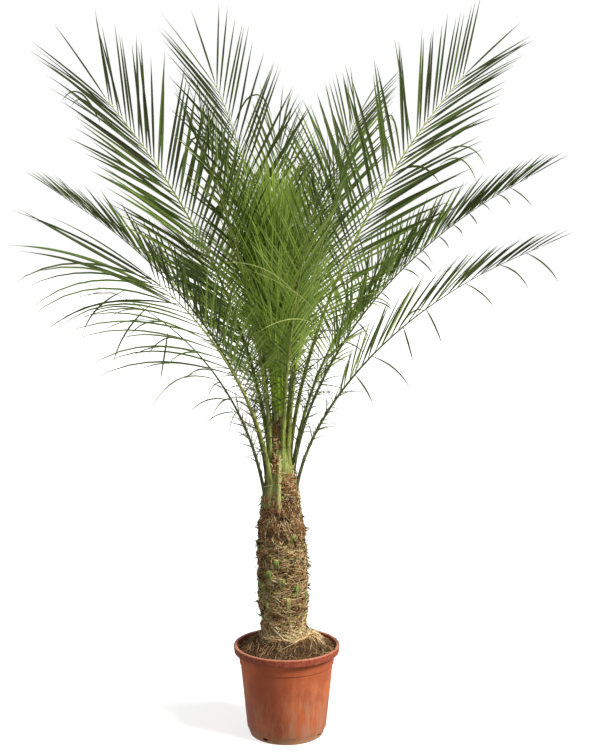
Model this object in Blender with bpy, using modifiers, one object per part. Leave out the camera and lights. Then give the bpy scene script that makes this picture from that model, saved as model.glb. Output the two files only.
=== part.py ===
"""A young feather-leaved date palm in a round nursery pot, as separate solids.

The origin is the middle of the pot's flat underside, +Z is up, and all sizes are metres.
Azimuths are degrees about +Z from +X. Each grown leaf is two solids: a bare stalk, and a blade
with the folded outline of its leaflets.
"""

import math

import bmesh
import bpy
from mathutils import Matrix, Quaternion, Vector

GAP = 0.0003

# Pot
POT_HEIGHT = 0.300
POT_WALL = 0.004
POT_FLOOR = 0.006
RIM_RADIUS = 0.175
RIM_WALL = 0.012
RIM_DEPTH = 0.024
RIM_ROUND = 0.004
BODY_TOP_RADIUS = 0.159
COLLAR_DEPTH = 0.036
COLLAR_STEP = 0.003
BODY_FOOT_RADIUS = 0.134
FOOT_HEIGHT = 0.026
FOOT_RADIUS = 0.122
POT_STEPS = 48
DRAIN_COUNT = 4
DRAIN_AZIMUTH = 237.0
DRAIN_WIDTH = 0.020
DRAIN_HEIGHT = 0.009

# Soil, heaped up round the trunk
SOIL_EDGE_DROP = 0.008
SEAT_HEIGHT = 0.335
SEAT_RADIUS = 0.088

# Trunk, from the soil to the leaf bases
TRUNK_TOP = 0.794
TRUNK_FOOT_X = -0.007
TRUNK_TOP_X = -0.020
TRUNK_OUTLINE = (
    (0.00, 0.084),
    (0.04, 0.072),
    (0.12, 0.071),
    (0.24, 0.079),
    (0.50, 0.080),
    (0.62, 0.078),
    (0.76, 0.072),
    (0.88, 0.062),
    (1.00, 0.054),
)
TRUNK_RINGS = 24
TRUNK_SIDES = 20
SCAR_SPIRALS = 5
SCAR_TURNS = 1.5
SCAR_RELIEF = 0.0035

# Heart: the bundle of leaf bases on top of the trunk
HEART_TOP = 1.000
HEART_FOOT_RADIUS = 0.050
HEART_TOP_RADIUS = 0.017
HEART_SIDES = 16
FIRST_ROOT = 0.800
ROOT_RISE = 0.0085
ROOT_SINK = 0.001

# Spear: the youngest leaf, shut at its foot and opening above like a brush
SPEAR_AZIMUTH = 252.0
SPEAR_LEAN = 6.0
SPEAR_OUTLINE = (
    (0.00, 0.006),
    (0.10, 0.012),
    (0.30, 0.030),
    (0.42, 0.034),
    (0.68, 0.105),
    (0.88, 0.070),
    (1.00, 0.004),
)
SPEAR_LENGTH = 0.88
SPEAR_STATIONS = 15
SPEAR_SIDES = 10

# Leaves
STALK_SHARE = 0.30
ROLL_SHARE = 0.45
STALK_HALF_WIDTH = 0.0075
RIB_TIP_HALF_WIDTH = 0.0020
RIB_DEPTH_RATIO = 1.1
RIB_TOP_RATIO = 0.3
WING_THICKNESS = 0.0020
WIDEN_SHARE = 0.16
WIDEN_POWER = 0.8
TAPER = 0.62
TAPER_POWER = 3.0
STALK_STATIONS = 6
BLADE_STATIONS = 15
CURVE_STEPS = 60
CELL_SHARE = 0.90

# Oldest leaf first. Lean is from the vertical, at the root and at the tip; bend is the power
# with which it grows along the rib, and swing is how far the azimuth turns on the way. Roll is
# how far the blade is twisted about its rib, and fold is how far each wing of it is raised.
#   name, azimuth, swing, roll, fold, root lean, tip lean, bend, rib length, half width, past tip
LEAVES = (
    ("left_low", 200, 10, 0, -30, 10, 68, 1.10, 0.89, 0.16, 0.12),
    ("right_low", 352, 10, 0, 26, 3, 69, 0.60, 1.16, 0.12, 0.11),
    ("back_low", 108, 0, 0, 20, 8, 70, 0.80, 1.15, 0.20, 0.18),
    ("front_left", 230, 10, 20, 30, 0, 63, 0.60, 0.93, 0.28, 0.42),
    ("right_back_low", 40, 0, 0, 24, 5, 60, 0.80, 1.05, 0.20, 0.18),
    ("left_mid", 168, 10, 0, 34, 0, 59, 0.65, 1.18, 0.18, 0.14),
    ("back_left_low", 122, 0, 0, 24, 8, 62, 0.80, 1.00, 0.18, 0.18),
    ("back_right_tall", 66, 0, 10, 32, 0, 50, 0.80, 1.42, 0.24, 0.24),
    ("right_mid", 0, 10, 0, 34, 5, 64, 0.75, 1.28, 0.17, 0.14),
    ("left_tall", 147, 12, -42, 32, 0, 43, 0.60, 1.39, 0.31, 0.30),
    ("front_left_inner", 222, 0, 0, 34, 2, 28, 1.00, 1.05, 0.15, 0.20),
    ("right_tall", 36, 5, 42, 32, 0, 50, 0.60, 1.58, 0.29, 0.29),
    ("back_inner", 92, 0, 0, 34, 0, 32, 1.00, 1.12, 0.18, 0.22),
    ("front_right_inner", 318, 0, 0, 34, 2, 26, 1.00, 0.92, 0.13, 0.20),
    ("left_inner", 190, 0, 0, 34, 0, 22, 1.00, 1.05, 0.15, 0.22),
    ("back_left_tall", 130, 0, -22, 30, 0, 36, 1.50, 1.28, 0.27, 0.28),
    ("front_mid", 286, 0, 0, 30, 4, 44, 0.90, 0.92, 0.14, 0.16),
)

TERRACOTTA = (0.62, 0.16, 0.06)
PEAT = (0.07, 0.045, 0.03)
FIBRE_BROWN = (0.22, 0.15, 0.08)
LEAF_BASE = (0.32, 0.30, 0.13)
SPEAR_GREEN = (0.20, 0.38, 0.04)
STALK_GREEN = (0.26, 0.33, 0.10)
LEAFLET_GREEN = (0.11, 0.18, 0.05)


# Scene helpers

def clear_scene():
    for item in list(bpy.data.objects):
        bpy.data.objects.remove(item, do_unlink=True)


def new_collection(name):
    collection = bpy.data.collections.new(name)
    bpy.context.scene.collection.children.link(collection)
    return collection


def new_material(name, color, roughness):
    material = bpy.data.materials.new(name)
    material.use_nodes = True
    shader = material.node_tree.nodes["Principled BSDF"]
    shader.inputs["Base Color"].default_value = (*color, 1.0)
    shader.inputs["Roughness"].default_value = roughness
    return material


def new_object(name, mesh, material, collection):
    item = bpy.data.objects.new(name, mesh)
    if material:
        mesh.materials.append(material)
    collection.objects.link(item)
    return item


def mesh_from(bm, name):
    mesh = bpy.data.meshes.new(name)
    bm.to_mesh(mesh)
    bm.free()
    return mesh


def smooth(mesh, angle=40.0):
    mesh.shade_smooth()
    mesh.set_sharp_from_angle(angle=math.radians(angle))


def loft(name, rings):
    """A closed skin through rings of points that all have the same number of points."""
    bm = bmesh.new()
    loops = [[bm.verts.new(point) for point in ring] for ring in rings]
    for lower, upper in zip(loops, loops[1:]):
        for index in range(len(lower)):
            after = (index + 1) % len(lower)
            bm.faces.new((lower[index], lower[after], upper[after], upper[index]))
    bm.faces.new(reversed(loops[0]))
    bm.faces.new(loops[-1])
    bmesh.ops.recalc_face_normals(bm, faces=bm.faces)
    bmesh.ops.triangulate(bm, faces=bm.faces)
    return mesh_from(bm, name)


def turned(name, profile, steps, material, collection):
    """A solid of revolution; the profile runs from the axis over the top and down the outside."""
    mesh = bpy.data.meshes.new(name)
    edges = [(index, index + 1) for index in range(len(profile) - 1)]
    mesh.from_pydata([(radius, 0.0, height) for radius, height in profile], edges, [])
    item = new_object(name, mesh, material, collection)
    screw = item.modifiers.new("Screw", "SCREW")
    screw.steps = steps
    screw.render_steps = steps
    screw.use_merge_vertices = True
    screw.merge_threshold = 0.0001
    screw.use_smooth_shade = False
    return item


def cut(item, cutter):
    boolean = item.modifiers.new("Cut", "BOOLEAN")
    boolean.operation = "DIFFERENCE"
    boolean.solver = "EXACT"
    boolean.object = cutter


def as_cutter(item):
    item.hide_render = True
    item.display_type = "WIRE"


def interpolate(outline, at):
    """The value at a place on an outline of (place, value) pairs, eased between its points."""
    for (start, low), (end, high) in zip(outline, outline[1:]):
        if at <= end:
            share = (at - start) / (end - start)
            eased = share * share * (3.0 - 2.0 * share)
            return low + (high - low) * eased
    return outline[-1][1]


# Pot and soil

def wall_radius(height):
    """The outer radius of the pot's tapering body."""
    share = (height - FOOT_HEIGHT) / (POT_HEIGHT - RIM_DEPTH - FOOT_HEIGHT)
    return BODY_FOOT_RADIUS + (BODY_TOP_RADIUS - BODY_FOOT_RADIUS) * share


def inner_radius(height):
    return wall_radius(height) - COLLAR_STEP - POT_WALL


def flare_radius(height):
    """The inner radius of the rim, which flares out from the body's inside."""
    rim_under = POT_HEIGHT - RIM_DEPTH
    share = (height - rim_under) / (RIM_DEPTH - RIM_ROUND)
    return inner_radius(rim_under) * (1.0 - share) + (RIM_RADIUS - RIM_WALL) * share


def pot_profile():
    rim_under = POT_HEIGHT - RIM_DEPTH
    collar = rim_under - COLLAR_DEPTH
    return (
        (0.0, POT_FLOOR),
        (FOOT_RADIUS - POT_WALL, POT_FLOOR),
        (inner_radius(FOOT_HEIGHT), FOOT_HEIGHT),
        (inner_radius(rim_under), rim_under),
        (flare_radius(POT_HEIGHT - RIM_ROUND), POT_HEIGHT - RIM_ROUND),
        (RIM_RADIUS - RIM_WALL + RIM_ROUND, POT_HEIGHT),
        (RIM_RADIUS - RIM_ROUND, POT_HEIGHT),
        (RIM_RADIUS, POT_HEIGHT - RIM_ROUND),
        (RIM_RADIUS - RIM_ROUND / 2, rim_under),
        (wall_radius(rim_under), rim_under),
        (wall_radius(collar), collar),
        (wall_radius(collar) - COLLAR_STEP, collar - COLLAR_STEP),
        (BODY_FOOT_RADIUS - COLLAR_STEP, FOOT_HEIGHT),
        (FOOT_RADIUS, 0.0),
        (0.0, 0.0),
    )


def drain_cutter(collection):
    """Blocks set round the foot, where its drain slots are cut through the wall."""
    bm = bmesh.new()
    height = POT_FLOOR + (DRAIN_HEIGHT + POT_WALL) / 2
    for index in range(DRAIN_COUNT):
        made = bmesh.ops.create_cube(bm, size=1.0)["verts"]
        bmesh.ops.scale(bm, verts=made, vec=(6.0 * POT_WALL, DRAIN_WIDTH, DRAIN_HEIGHT))
        bmesh.ops.translate(bm, verts=made, vec=(FOOT_RADIUS, 0.0, height))
        angle = math.radians(DRAIN_AZIMUTH) + math.tau * index / DRAIN_COUNT
        turn = Matrix.Rotation(angle, 3, "Z")
        bmesh.ops.rotate(bm, verts=made, cent=(0.0, 0.0, 0.0), matrix=turn)
    return new_object("drain_cutter", mesh_from(bm, "drain_cutter"), None, collection)


def make_pot(parts, cutters):
    material = new_material("terracotta_plastic", TERRACOTTA, 0.55)
    pot = turned("pot", pot_profile(), POT_STEPS, material, parts)
    cutter = drain_cutter(cutters)
    as_cutter(cutter)
    cut(pot, cutter)


def make_soil(parts):
    """Soil that fills the pot to just under its rim, and is heaped up round the trunk."""
    edge = POT_HEIGHT - SOIL_EDGE_DROP
    edge_radius = flare_radius(edge) - 2.0 * GAP
    rim_under = POT_HEIGHT - RIM_DEPTH
    floor = POT_FLOOR + GAP
    profile = (
        (0.0, SEAT_HEIGHT),
        (SEAT_RADIUS, SEAT_HEIGHT),
        ((SEAT_RADIUS + edge_radius) / 2, (edge + SEAT_HEIGHT) / 2),
        (edge_radius, edge),
        (inner_radius(rim_under) - GAP, rim_under),
        (inner_radius(FOOT_HEIGHT) - GAP, FOOT_HEIGHT),
        (FOOT_RADIUS - POT_WALL - 2.0 * GAP, floor),
        (0.0, floor),
    )
    turned("soil", profile, POT_STEPS, new_material("peat", PEAT, 0.95), parts)


# Trunk and heart

def trunk_center(height):
    share = (height - SEAT_HEIGHT) / (TRUNK_TOP - SEAT_HEIGHT)
    return Vector((TRUNK_FOOT_X + (TRUNK_TOP_X - TRUNK_FOOT_X) * share, 0.0, height))


def make_trunk(parts):
    """Rings up the leaning axis, with the old leaf scars as low spiral ridges."""
    foot = SEAT_HEIGHT + GAP
    rings = []
    for step in range(TRUNK_RINGS + 1):
        share = step / TRUNK_RINGS
        center = trunk_center(foot + (TRUNK_TOP - foot) * share)
        radius = interpolate(TRUNK_OUTLINE, share)
        ring = []
        for side in range(TRUNK_SIDES):
            angle = math.tau * side / TRUNK_SIDES
            left_hand = math.cos(SCAR_SPIRALS * angle + math.tau * SCAR_TURNS * share)
            right_hand = math.cos(SCAR_SPIRALS * angle - math.tau * SCAR_TURNS * 2.0 * share)
            reach = radius + SCAR_RELIEF * left_hand * right_hand
            ring.append(center + Vector((math.cos(angle), math.sin(angle), 0.0)) * reach)
        rings.append(ring)
    mesh = loft("trunk", rings)
    smooth(mesh, 60.0)
    new_object("trunk", mesh, new_material("trunk_fibre", FIBRE_BROWN, 0.95), parts)


def heart_radius(height):
    share = (height - TRUNK_TOP) / (HEART_TOP - TRUNK_TOP)
    return HEART_FOOT_RADIUS + (HEART_TOP_RADIUS - HEART_FOOT_RADIUS) * share


def heart_cone(name, swell, material, collection):
    """The heart's cone, or with some swell the tool that trims the stalks to it."""
    foot = TRUNK_TOP + GAP - swell
    bm = bmesh.new()
    bmesh.ops.create_cone(
        bm,
        cap_ends=True,
        segments=HEART_SIDES,
        radius1=heart_radius(TRUNK_TOP) + swell,
        radius2=heart_radius(HEART_TOP) + swell,
        depth=HEART_TOP + swell - foot,
    )
    item = new_object(name, mesh_from(bm, name), material, collection)
    item.location = (TRUNK_TOP_X, 0.0, (foot + HEART_TOP + swell) / 2)
    return item


# Leaves

class Leaf:
    """A leaf's rib as a curve. A share of 0 is its root, a share of 1 the rib's tip, and end is
    where the tips of the last leaflets lie, on the same curve run on."""

    def __init__(self, order, row):
        self.name, *angles, self.bend, self.length, self.width, past = row
        angles = [math.radians(angle) for angle in angles]
        self.azimuth, self.swing, self.roll, self.fold, self.root_lean, self.tip_lean = angles
        self.end = 1.0 + past / self.length
        height = FIRST_ROOT + ROOT_RISE * order
        reach = heart_radius(height) + STALK_HALF_WIDTH / 2 - ROOT_SINK
        outward = Vector((math.cos(self.azimuth), math.sin(self.azimuth), 0.0))
        self.points = [Vector((TRUNK_TOP_X, 0.0, height)) + outward * reach]
        step = self.end / CURVE_STEPS
        for index in range(CURVE_STEPS):
            along = self.tangent((index + 0.5) * step)
            self.points.append(self.points[-1] + along * step * self.length)

    def tangent(self, share):
        lean = self.root_lean + (self.tip_lean - self.root_lean) * share ** self.bend
        azimuth = self.azimuth + self.swing * share
        flat = math.sin(lean)
        return Vector((flat * math.cos(azimuth), flat * math.sin(azimuth), math.cos(lean)))

    def upper_side(self, share):
        """The direction that the leaf's upper face looks in, square to the rib."""
        azimuth = self.azimuth + self.swing * share
        level = Vector((-math.sin(azimuth), math.cos(azimuth), 0.0))
        tangent = self.tangent(share)
        twist = Quaternion(tangent, self.roll * min(1.0, share / ROLL_SHARE))
        return twist @ tangent.cross(level).normalized()

    def place(self, share):
        along = share / self.end * CURVE_STEPS
        index = min(int(along), CURVE_STEPS - 1)
        return self.points[index].lerp(self.points[index + 1], along - index)

    def rib_half_width(self, share):
        return STALK_HALF_WIDTH + (RIB_TIP_HALF_WIDTH - STALK_HALF_WIDTH) * min(share, 1.0)

    def wing_reach(self, share):
        """How far the leaflets reach to each side of the rib."""
        along = (share - STALK_SHARE) / (self.end - STALK_SHARE)
        widen = min(1.0, along / WIDEN_SHARE) ** WIDEN_POWER
        taper = 1.0 - TAPER * along ** TAPER_POWER
        return max(self.rib_half_width(share), self.width * widen * taper)


def cell_reach(place, direction, rivals):
    """How far a ray may go before it is nearer to another leaf's rib than to its own place."""
    reach = math.inf
    for rival in rivals:
        away = rival - place
        toward = away.dot(direction)
        if toward > 0.0:
            reach = min(reach, away.length_squared / (2.0 * toward))
    return reach * CELL_SHARE


def leaf_section(leaf, share, wing, rivals):
    """A folded section: two thin wings that rise from a rib with a keel under it."""
    place = leaf.place(share)
    tangent = leaf.tangent(share)
    upper = leaf.upper_side(share)
    level = tangent.cross(upper).normalized()
    rib = leaf.rib_half_width(share)
    angle = leaf.fold
    ring = [place + upper * rib * RIB_TOP_RATIO]
    for side in (1.0, -1.0):
        out = level * side * math.cos(angle) + upper * math.sin(angle)
        face = upper * math.cos(angle) - level * side * math.sin(angle)
        reach = max(rib, min(wing, cell_reach(place, out, rivals)))
        edge = [place + out * reach + face * WING_THICKNESS / 2]
        edge.append(place + out * reach - face * WING_THICKNESS / 2)
        if side > 0.0:
            ring.extend(edge)
            ring.append(place - upper * rib * RIB_DEPTH_RATIO)
        else:
            ring.extend(reversed(edge))
    return ring


def make_leaf(leaf, rivals, materials, trimmer, parts):
    """The stalk, seated on the heart, and the blade that carries on from its end."""
    stalk_name = "stalk_" + leaf.name
    blade_name = "blade_" + leaf.name
    stalk_material, blade_material = materials
    stalk_rings = []
    for step in range(STALK_STATIONS):
        share = STALK_SHARE * step / (STALK_STATIONS - 1)
        stalk_rings.append(leaf_section(leaf, share, leaf.rib_half_width(share), rivals))
    stalk = new_object(stalk_name, loft(stalk_name, stalk_rings), stalk_material, parts)
    cut(stalk, trimmer)
    blade_rings = []
    start = STALK_SHARE + GAP / leaf.length
    for step in range(BLADE_STATIONS):
        share = start + (leaf.end - start) * step / (BLADE_STATIONS - 1)
        blade_rings.append(leaf_section(leaf, share, leaf.wing_reach(share), rivals))
    new_object(blade_name, loft(blade_name, blade_rings), blade_material, parts)


def spear_points():
    """The axis of the opening leaf, from its seat on the heart."""
    azimuth = math.radians(SPEAR_AZIMUTH)
    outward = Vector((math.cos(azimuth), math.sin(azimuth), 0.0))
    lean = math.radians(SPEAR_LEAN)
    along = outward * math.sin(lean) + Vector((0.0, 0.0, math.cos(lean)))
    foot = Vector((TRUNK_TOP_X, 0.0, HEART_TOP + GAP))
    step = SPEAR_LENGTH / (SPEAR_STATIONS - 1)
    return [foot + along * step * station for station in range(SPEAR_STATIONS)]


def make_spear(axis, rivals, parts):
    """An opening leaf: a spindle with level rings that widens as far as its cell lets it."""
    rings = []
    for station, place in enumerate(axis):
        half = interpolate(SPEAR_OUTLINE, station / (SPEAR_STATIONS - 1))
        ring = []
        for side in range(SPEAR_SIDES):
            turn = math.tau * side / SPEAR_SIDES
            out = Vector((math.cos(turn), math.sin(turn), 0.0))
            ring.append(place + out * min(half, cell_reach(place, out, rivals)))
        rings.append(ring)
    mesh = loft("spear", rings)
    new_object("spear", mesh, new_material("spear_green", SPEAR_GREEN, 0.5), parts)


def build():
    clear_scene()
    parts = new_collection("date_palm")
    cutters = new_collection("cutters")
    make_pot(parts, cutters)
    make_soil(parts)
    make_trunk(parts)
    heart_cone("heart", 0.0, new_material("leaf_bases", LEAF_BASE, 0.8), parts)
    trimmer = heart_cone("stalk_trimmer", GAP, None, cutters)
    as_cutter(trimmer)
    stalk_material = new_material("stalk_green", STALK_GREEN, 0.5)
    leaflet_material = new_material("leaflet_green", LEAFLET_GREEN, 0.5)
    leaves = [Leaf(order, row) for order, row in enumerate(LEAVES)]
    axis = spear_points()
    make_spear(axis, [point for leaf in leaves for point in leaf.points], parts)
    for leaf in leaves:
        rivals = [point for other in leaves if other is not leaf for point in other.points]
        make_leaf(leaf, rivals + axis, (stalk_material, leaflet_material), trimmer, parts)


build()
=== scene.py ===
"""The looks of the potted date palm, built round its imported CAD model.

Everything is in metres in the CAD's frame: the origin is the middle of the pot's underside and
+Z is up. Azimuths are about +Z from +X. A share is a place along a leaf's rib, from 0 at its
root to 1 at its tip. Many small things of a kind are made at once, as numpy arrays with one row
for each thing, and joined into one piece.
"""

import math

import bmesh
import bpy
import numpy as np
from mathutils import Euler, Matrix, Quaternion, Vector, noise


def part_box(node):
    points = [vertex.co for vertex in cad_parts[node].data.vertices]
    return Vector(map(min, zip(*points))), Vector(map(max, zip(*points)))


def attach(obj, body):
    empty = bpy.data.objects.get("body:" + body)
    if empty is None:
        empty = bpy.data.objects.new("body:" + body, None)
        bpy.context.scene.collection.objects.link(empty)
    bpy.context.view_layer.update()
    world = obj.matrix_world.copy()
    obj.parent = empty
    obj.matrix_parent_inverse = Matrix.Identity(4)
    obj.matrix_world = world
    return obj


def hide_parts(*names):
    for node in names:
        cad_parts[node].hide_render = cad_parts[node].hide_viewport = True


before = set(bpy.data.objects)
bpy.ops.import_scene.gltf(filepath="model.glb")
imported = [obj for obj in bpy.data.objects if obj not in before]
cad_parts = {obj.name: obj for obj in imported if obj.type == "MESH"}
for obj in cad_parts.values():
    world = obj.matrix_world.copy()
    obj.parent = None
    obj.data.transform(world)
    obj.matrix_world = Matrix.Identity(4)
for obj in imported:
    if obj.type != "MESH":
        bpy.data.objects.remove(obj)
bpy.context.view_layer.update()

BODY = "root"
UP = np.array((0.0, 0.0, 1.0))

# Pot, repeated from the CAD model, with finer rounds and more steps
POT_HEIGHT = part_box("pot")[1].z
RIM_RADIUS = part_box("pot")[1].x
RIM_WALL = 0.012
POT_WALL = 0.004
POT_FLOOR = 0.006
RIM_DEPTH = 0.024
RIM_ROUND = 0.004
RIM_TUCK = 0.002
BODY_TOP_RADIUS = 0.159
COLLAR_DEPTH = 0.036
COLLAR_STEP = 0.003
BODY_FOOT_RADIUS = 0.134
FOOT_HEIGHT = 0.026
FOOT_RADIUS = 0.122
FOOT_ROUND = 0.003
POT_STEPS = 192
ROUND_STEPS = 5
DRAIN_COUNT = 4
DRAIN_AZIMUTH = math.radians(237.0)
DRAIN_WIDTH = 0.020
DRAIN_HEIGHT = 0.009
DRAIN_ROUND = 0.003
POT_CREASE = math.radians(38.0)

# Pot colours
POT_PLAIN = (0.40, 0.105, 0.042)
POT_DEEP = (0.40, 0.088, 0.030)
POT_ORANGE = (0.58, 0.140, 0.040)
LIME = (0.54, 0.29, 0.18)
RIM_DEEP = (0.255, 0.050, 0.022)
RIM_SCUFFED = (0.330, 0.082, 0.042)
# The lip's pale colour is a painted highlight, where light falls on the rim's top
LIP_HIGHLIGHT = (0.54, 0.26, 0.165)
FOOT_DUST = (0.32, 0.235, 0.125)

# Soil
SOIL_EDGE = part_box("pot")[1].z - 0.008
SEAT_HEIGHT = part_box("soil")[1].z
SEAT_RADIUS = 0.088
SOIL_SINK = 0.004
SOIL_RINGS = 90
SOIL_STEPS = 240
SOIL_LUMPS = ((0.034, 0.0045), (0.012, 0.0028), (0.005, 0.0016))
CRUMB_COUNT = 620
CRUMB_SIZES = (0.0016, 0.0050)
DARK_CRUMB_SHARE = 0.4
RIM_CRUMB_COUNT = 26
RIM_CRUMB_SIZE = 0.2
RIM_CRUMB_AZIMUTH = 0.3
RIM_CRUMB_SPREAD = 0.5
SOIL_STRAW_COUNT = 1500
SOIL_STRAW_ROWS = 7
SOIL_STRAW_LENGTHS = (0.008, 0.038)
SOIL_STRAW_RADII = (0.0003, 0.0008)

# Trunk
TRUNK_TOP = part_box("trunk")[1].z
TRUNK_FOOT_X = -0.007
TRUNK_TOP_X = -0.020
TRUNK_OUTLINE = (
    (0.00, 0.084),
    (0.04, 0.072),
    (0.12, 0.071),
    (0.24, 0.079),
    (0.50, 0.080),
    (0.62, 0.078),
    (0.76, 0.072),
    (0.88, 0.062),
    (1.00, 0.054),
)
TRUNK_SKIN = 0.005
TRUNK_ROWS = 230
TRUNK_STEPS = 210
BARK_LUMPS = ((0.020, 0.0022), (0.007, 0.0016))
GOLDEN_ANGLE = math.radians(137.508)
BOOT_COUNT = 92
BOOT_WIDTH = 0.054
BOOT_HEIGHT = 0.052
BOOT_RELIEF = 0.0065

# Fibres on the trunk
FIBRE_DARK, FIBRE_BROWN, FIBRE_TAN, FIBRE_STRAW, FIBRE_GREEN = range(5)
FIBRE_ROWS = 10
FIBRE_RADII = (0.0004, 0.0011)
TANGLE_FOOT = SEAT_HEIGHT + (TRUNK_TOP - SEAT_HEIGHT) * 0.72
TRUNK_FOOT_TOP = SEAT_HEIGHT + 0.07

# The mat of fibre, layer by layer. The tilt is how far strands stray from level.
#   piece, count, low, high, tilt, lengths, curl, lift, and how much of each tone
FIBRE_LAYERS = (
    ("mat_fibres", 900, SEAT_HEIGHT, TRUNK_TOP, 0.45, (0.03, 0.10), 0.002, 0.002,
     {FIBRE_DARK: 0.50, FIBRE_BROWN: 0.30, FIBRE_GREEN: 0.20}),
    ("mat_fibres", 1050, SEAT_HEIGHT, TANGLE_FOOT, 0.34, (0.04, 0.15), 0.004, 0.004,
     {FIBRE_BROWN: 0.27, FIBRE_TAN: 0.32, FIBRE_STRAW: 0.27, FIBRE_GREEN: 0.14}),
    ("mat_fibres", 700, SEAT_HEIGHT, TANGLE_FOOT, 1.00, (0.015, 0.07), 0.006, 0.006,
     {FIBRE_DARK: 0.14, FIBRE_BROWN: 0.26, FIBRE_TAN: 0.28, FIBRE_STRAW: 0.32}),
    ("mat_fibres", 260, SEAT_HEIGHT, TRUNK_FOOT_TOP, 0.70, (0.03, 0.09), 0.005, 0.006,
     {FIBRE_TAN: 0.35, FIBRE_STRAW: 0.65}),
    ("tangle_fibres", 1700, TANGLE_FOOT, TRUNK_TOP, 1.10, (0.015, 0.060), 0.009, 0.008,
     {FIBRE_DARK: 0.15, FIBRE_BROWN: 0.47, FIBRE_TAN: 0.21, FIBRE_STRAW: 0.17}),
)

# Broken fibre ends, and thicker scraps of old leaf bases, that stand out from the trunk
HAIR_COUNT = 1300
HAIR_LENGTHS = (0.008, 0.027)
HAIR_RADII = (0.0004, 0.0012)
SCRAP_COUNT = 170
SCRAP_LENGTHS = (0.011, 0.024)
SCRAP_RADII = (0.0020, 0.0042)
HAIR_ROWS = 6
HAIR_TONES = {FIBRE_DARK: 0.60, FIBRE_BROWN: 0.25, FIBRE_TAN: 0.15}

# Roots that run out from the trunk's foot over the soil, half of them to the right
ROOT_COUNT = 300
ROOT_ROWS = 10
ROOT_REACHES = (0.003, 0.012)
LONG_ROOT_REACHES = (0.010, 0.060)
LONG_ROOT_SHARE = 0.5
LONG_ROOT_AZIMUTH = -0.05
LONG_ROOT_SPREAD = 0.40
ROOT_SWIRL = 1.2
LONG_ROOT_SWIRL = 0.5
ROOT_RADII = (0.0005, 0.0013)
ROOT_TONES = {FIBRE_BROWN: 0.25, FIBRE_TAN: 0.35, FIBRE_STRAW: 0.40}

# Tones of the leaf bases
BASE_GREEN, BASE_CUT, BASE_BROWN, BASE_TAN, BASE_OLIVE = range(5)

# Stubs of cut leaves on the trunk
STUB_CORNERS = ((-1.0, -0.6), (-0.6, 1.0), (0.6, 1.0), (1.0, -0.6), (0.5, -1.0), (-0.5, -1.0))
STUB_ROWS = 6
BARE_BOOT_SHARE = 0.55
STUB_HALF_WIDTHS = (0.0080, 0.0125)
STUB_HEIGHTS = (0.040, 0.060)
STUB_REACHES = (0.003, 0.006)
STUB_TONES = {BASE_GREEN: 0.40, BASE_OLIVE: 0.25, BASE_CUT: 0.20, BASE_BROWN: 0.15}
PALE_CUT_SHARE = 0.4

# Heart and leaf bases
HEART_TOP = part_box("heart")[1].z
HEART_FOOT_RADIUS = 0.050
HEART_TOP_RADIUS = 0.017
FIRST_ROOT = 0.800
ROOT_RISE = 0.0085
ROOT_SINK = 0.001
HEART_ROWS = 60
HEART_STEPS = 96
HEART_LUMPS = ((0.012, 0.0030),)
SHEATH_DROP = 0.085
SHEATH_RISE = 0.030
LOWEST_SHEATH = TRUNK_TOP - 0.030
SHEATH_FLARE = 0.024
SHEATH_STACK = 0.0035
SHEATH_TONES = {BASE_OLIVE: 0.45, BASE_GREEN: 0.40, BASE_TAN: 0.15}
BROWN_SHARES = (0.05, 0.40)
SHEATH_ROWS = 16
SHEATH_ACROSS = 15

# Feet of older leaves between the sheaths: azimuth, foot and top height, half width, tone
OLD_BASES = (
    (266, 0.755, 0.935, 0.0060, BASE_CUT),
    (250, 0.775, 1.000, 0.0085, BASE_GREEN),
    (236, 0.775, 1.110, 0.0085, BASE_OLIVE),
    (224, 0.780, 0.960, 0.0090, BASE_GREEN),
    (210, 0.780, 0.950, 0.0080, BASE_OLIVE),
    (272, 0.830, 1.050, 0.0070, BASE_OLIVE),
    (283, 0.840, 1.065, 0.0070, BASE_GREEN),
    (295, 0.835, 1.040, 0.0070, BASE_OLIVE),
    (304, 0.840, 1.110, 0.0075, BASE_GREEN),
    (316, 0.840, 1.020, 0.0060, BASE_OLIVE),
    (330, 0.840, 0.990, 0.0070, BASE_GREEN),
    (20, 0.800, 0.960, 0.0075, BASE_OLIVE),
    (80, 0.800, 0.970, 0.0080, BASE_GREEN),
    (150, 0.790, 0.960, 0.0080, BASE_OLIVE),
    (180, 0.800, 0.980, 0.0070, BASE_TAN),
)
OLD_BASE_LIFT = 0.004
STRAW_BASE_LIFT = 0.009

# Torn brown fibre: round the crown's foot, up between the stalks, and in a tuft at one side
BROWN_AZIMUTHS = (math.radians(288.0), math.radians(555.0))
RING_FIBRES = 200
RING_FIBRE_LENGTHS = (0.03, 0.07)
COLUMN_FIBRES = 150
COLUMN_AZIMUTH = math.radians(246.0)
COLUMN_SPREAD = 0.20
COLUMN_RISES = (0.08, 0.24)
COLUMN_WRAP = 0.35
COLUMN_LIFT = 0.006
TORN_FIBRES = 260
TORN_AZIMUTH = math.radians(318.0)
TORN_SPREAD = 0.42
TORN_RISES = (-0.02, 0.06)
SHORT_FIBRE_LENGTHS = (0.015, 0.05)
CROWN_FIBRE_ROWS = 12
CROWN_FIBRE_RADII = (0.0005, 0.0013)
CROWN_FIBRE_CURLS = (3.0, 9.0)
CROWN_FIBRE_LIFTS = (0.002, 0.014)
CROWN_FIBRE_TONES = {FIBRE_DARK: 0.16, FIBRE_BROWN: 0.52, FIBRE_TAN: 0.20, FIBRE_STRAW: 0.12}

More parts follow.
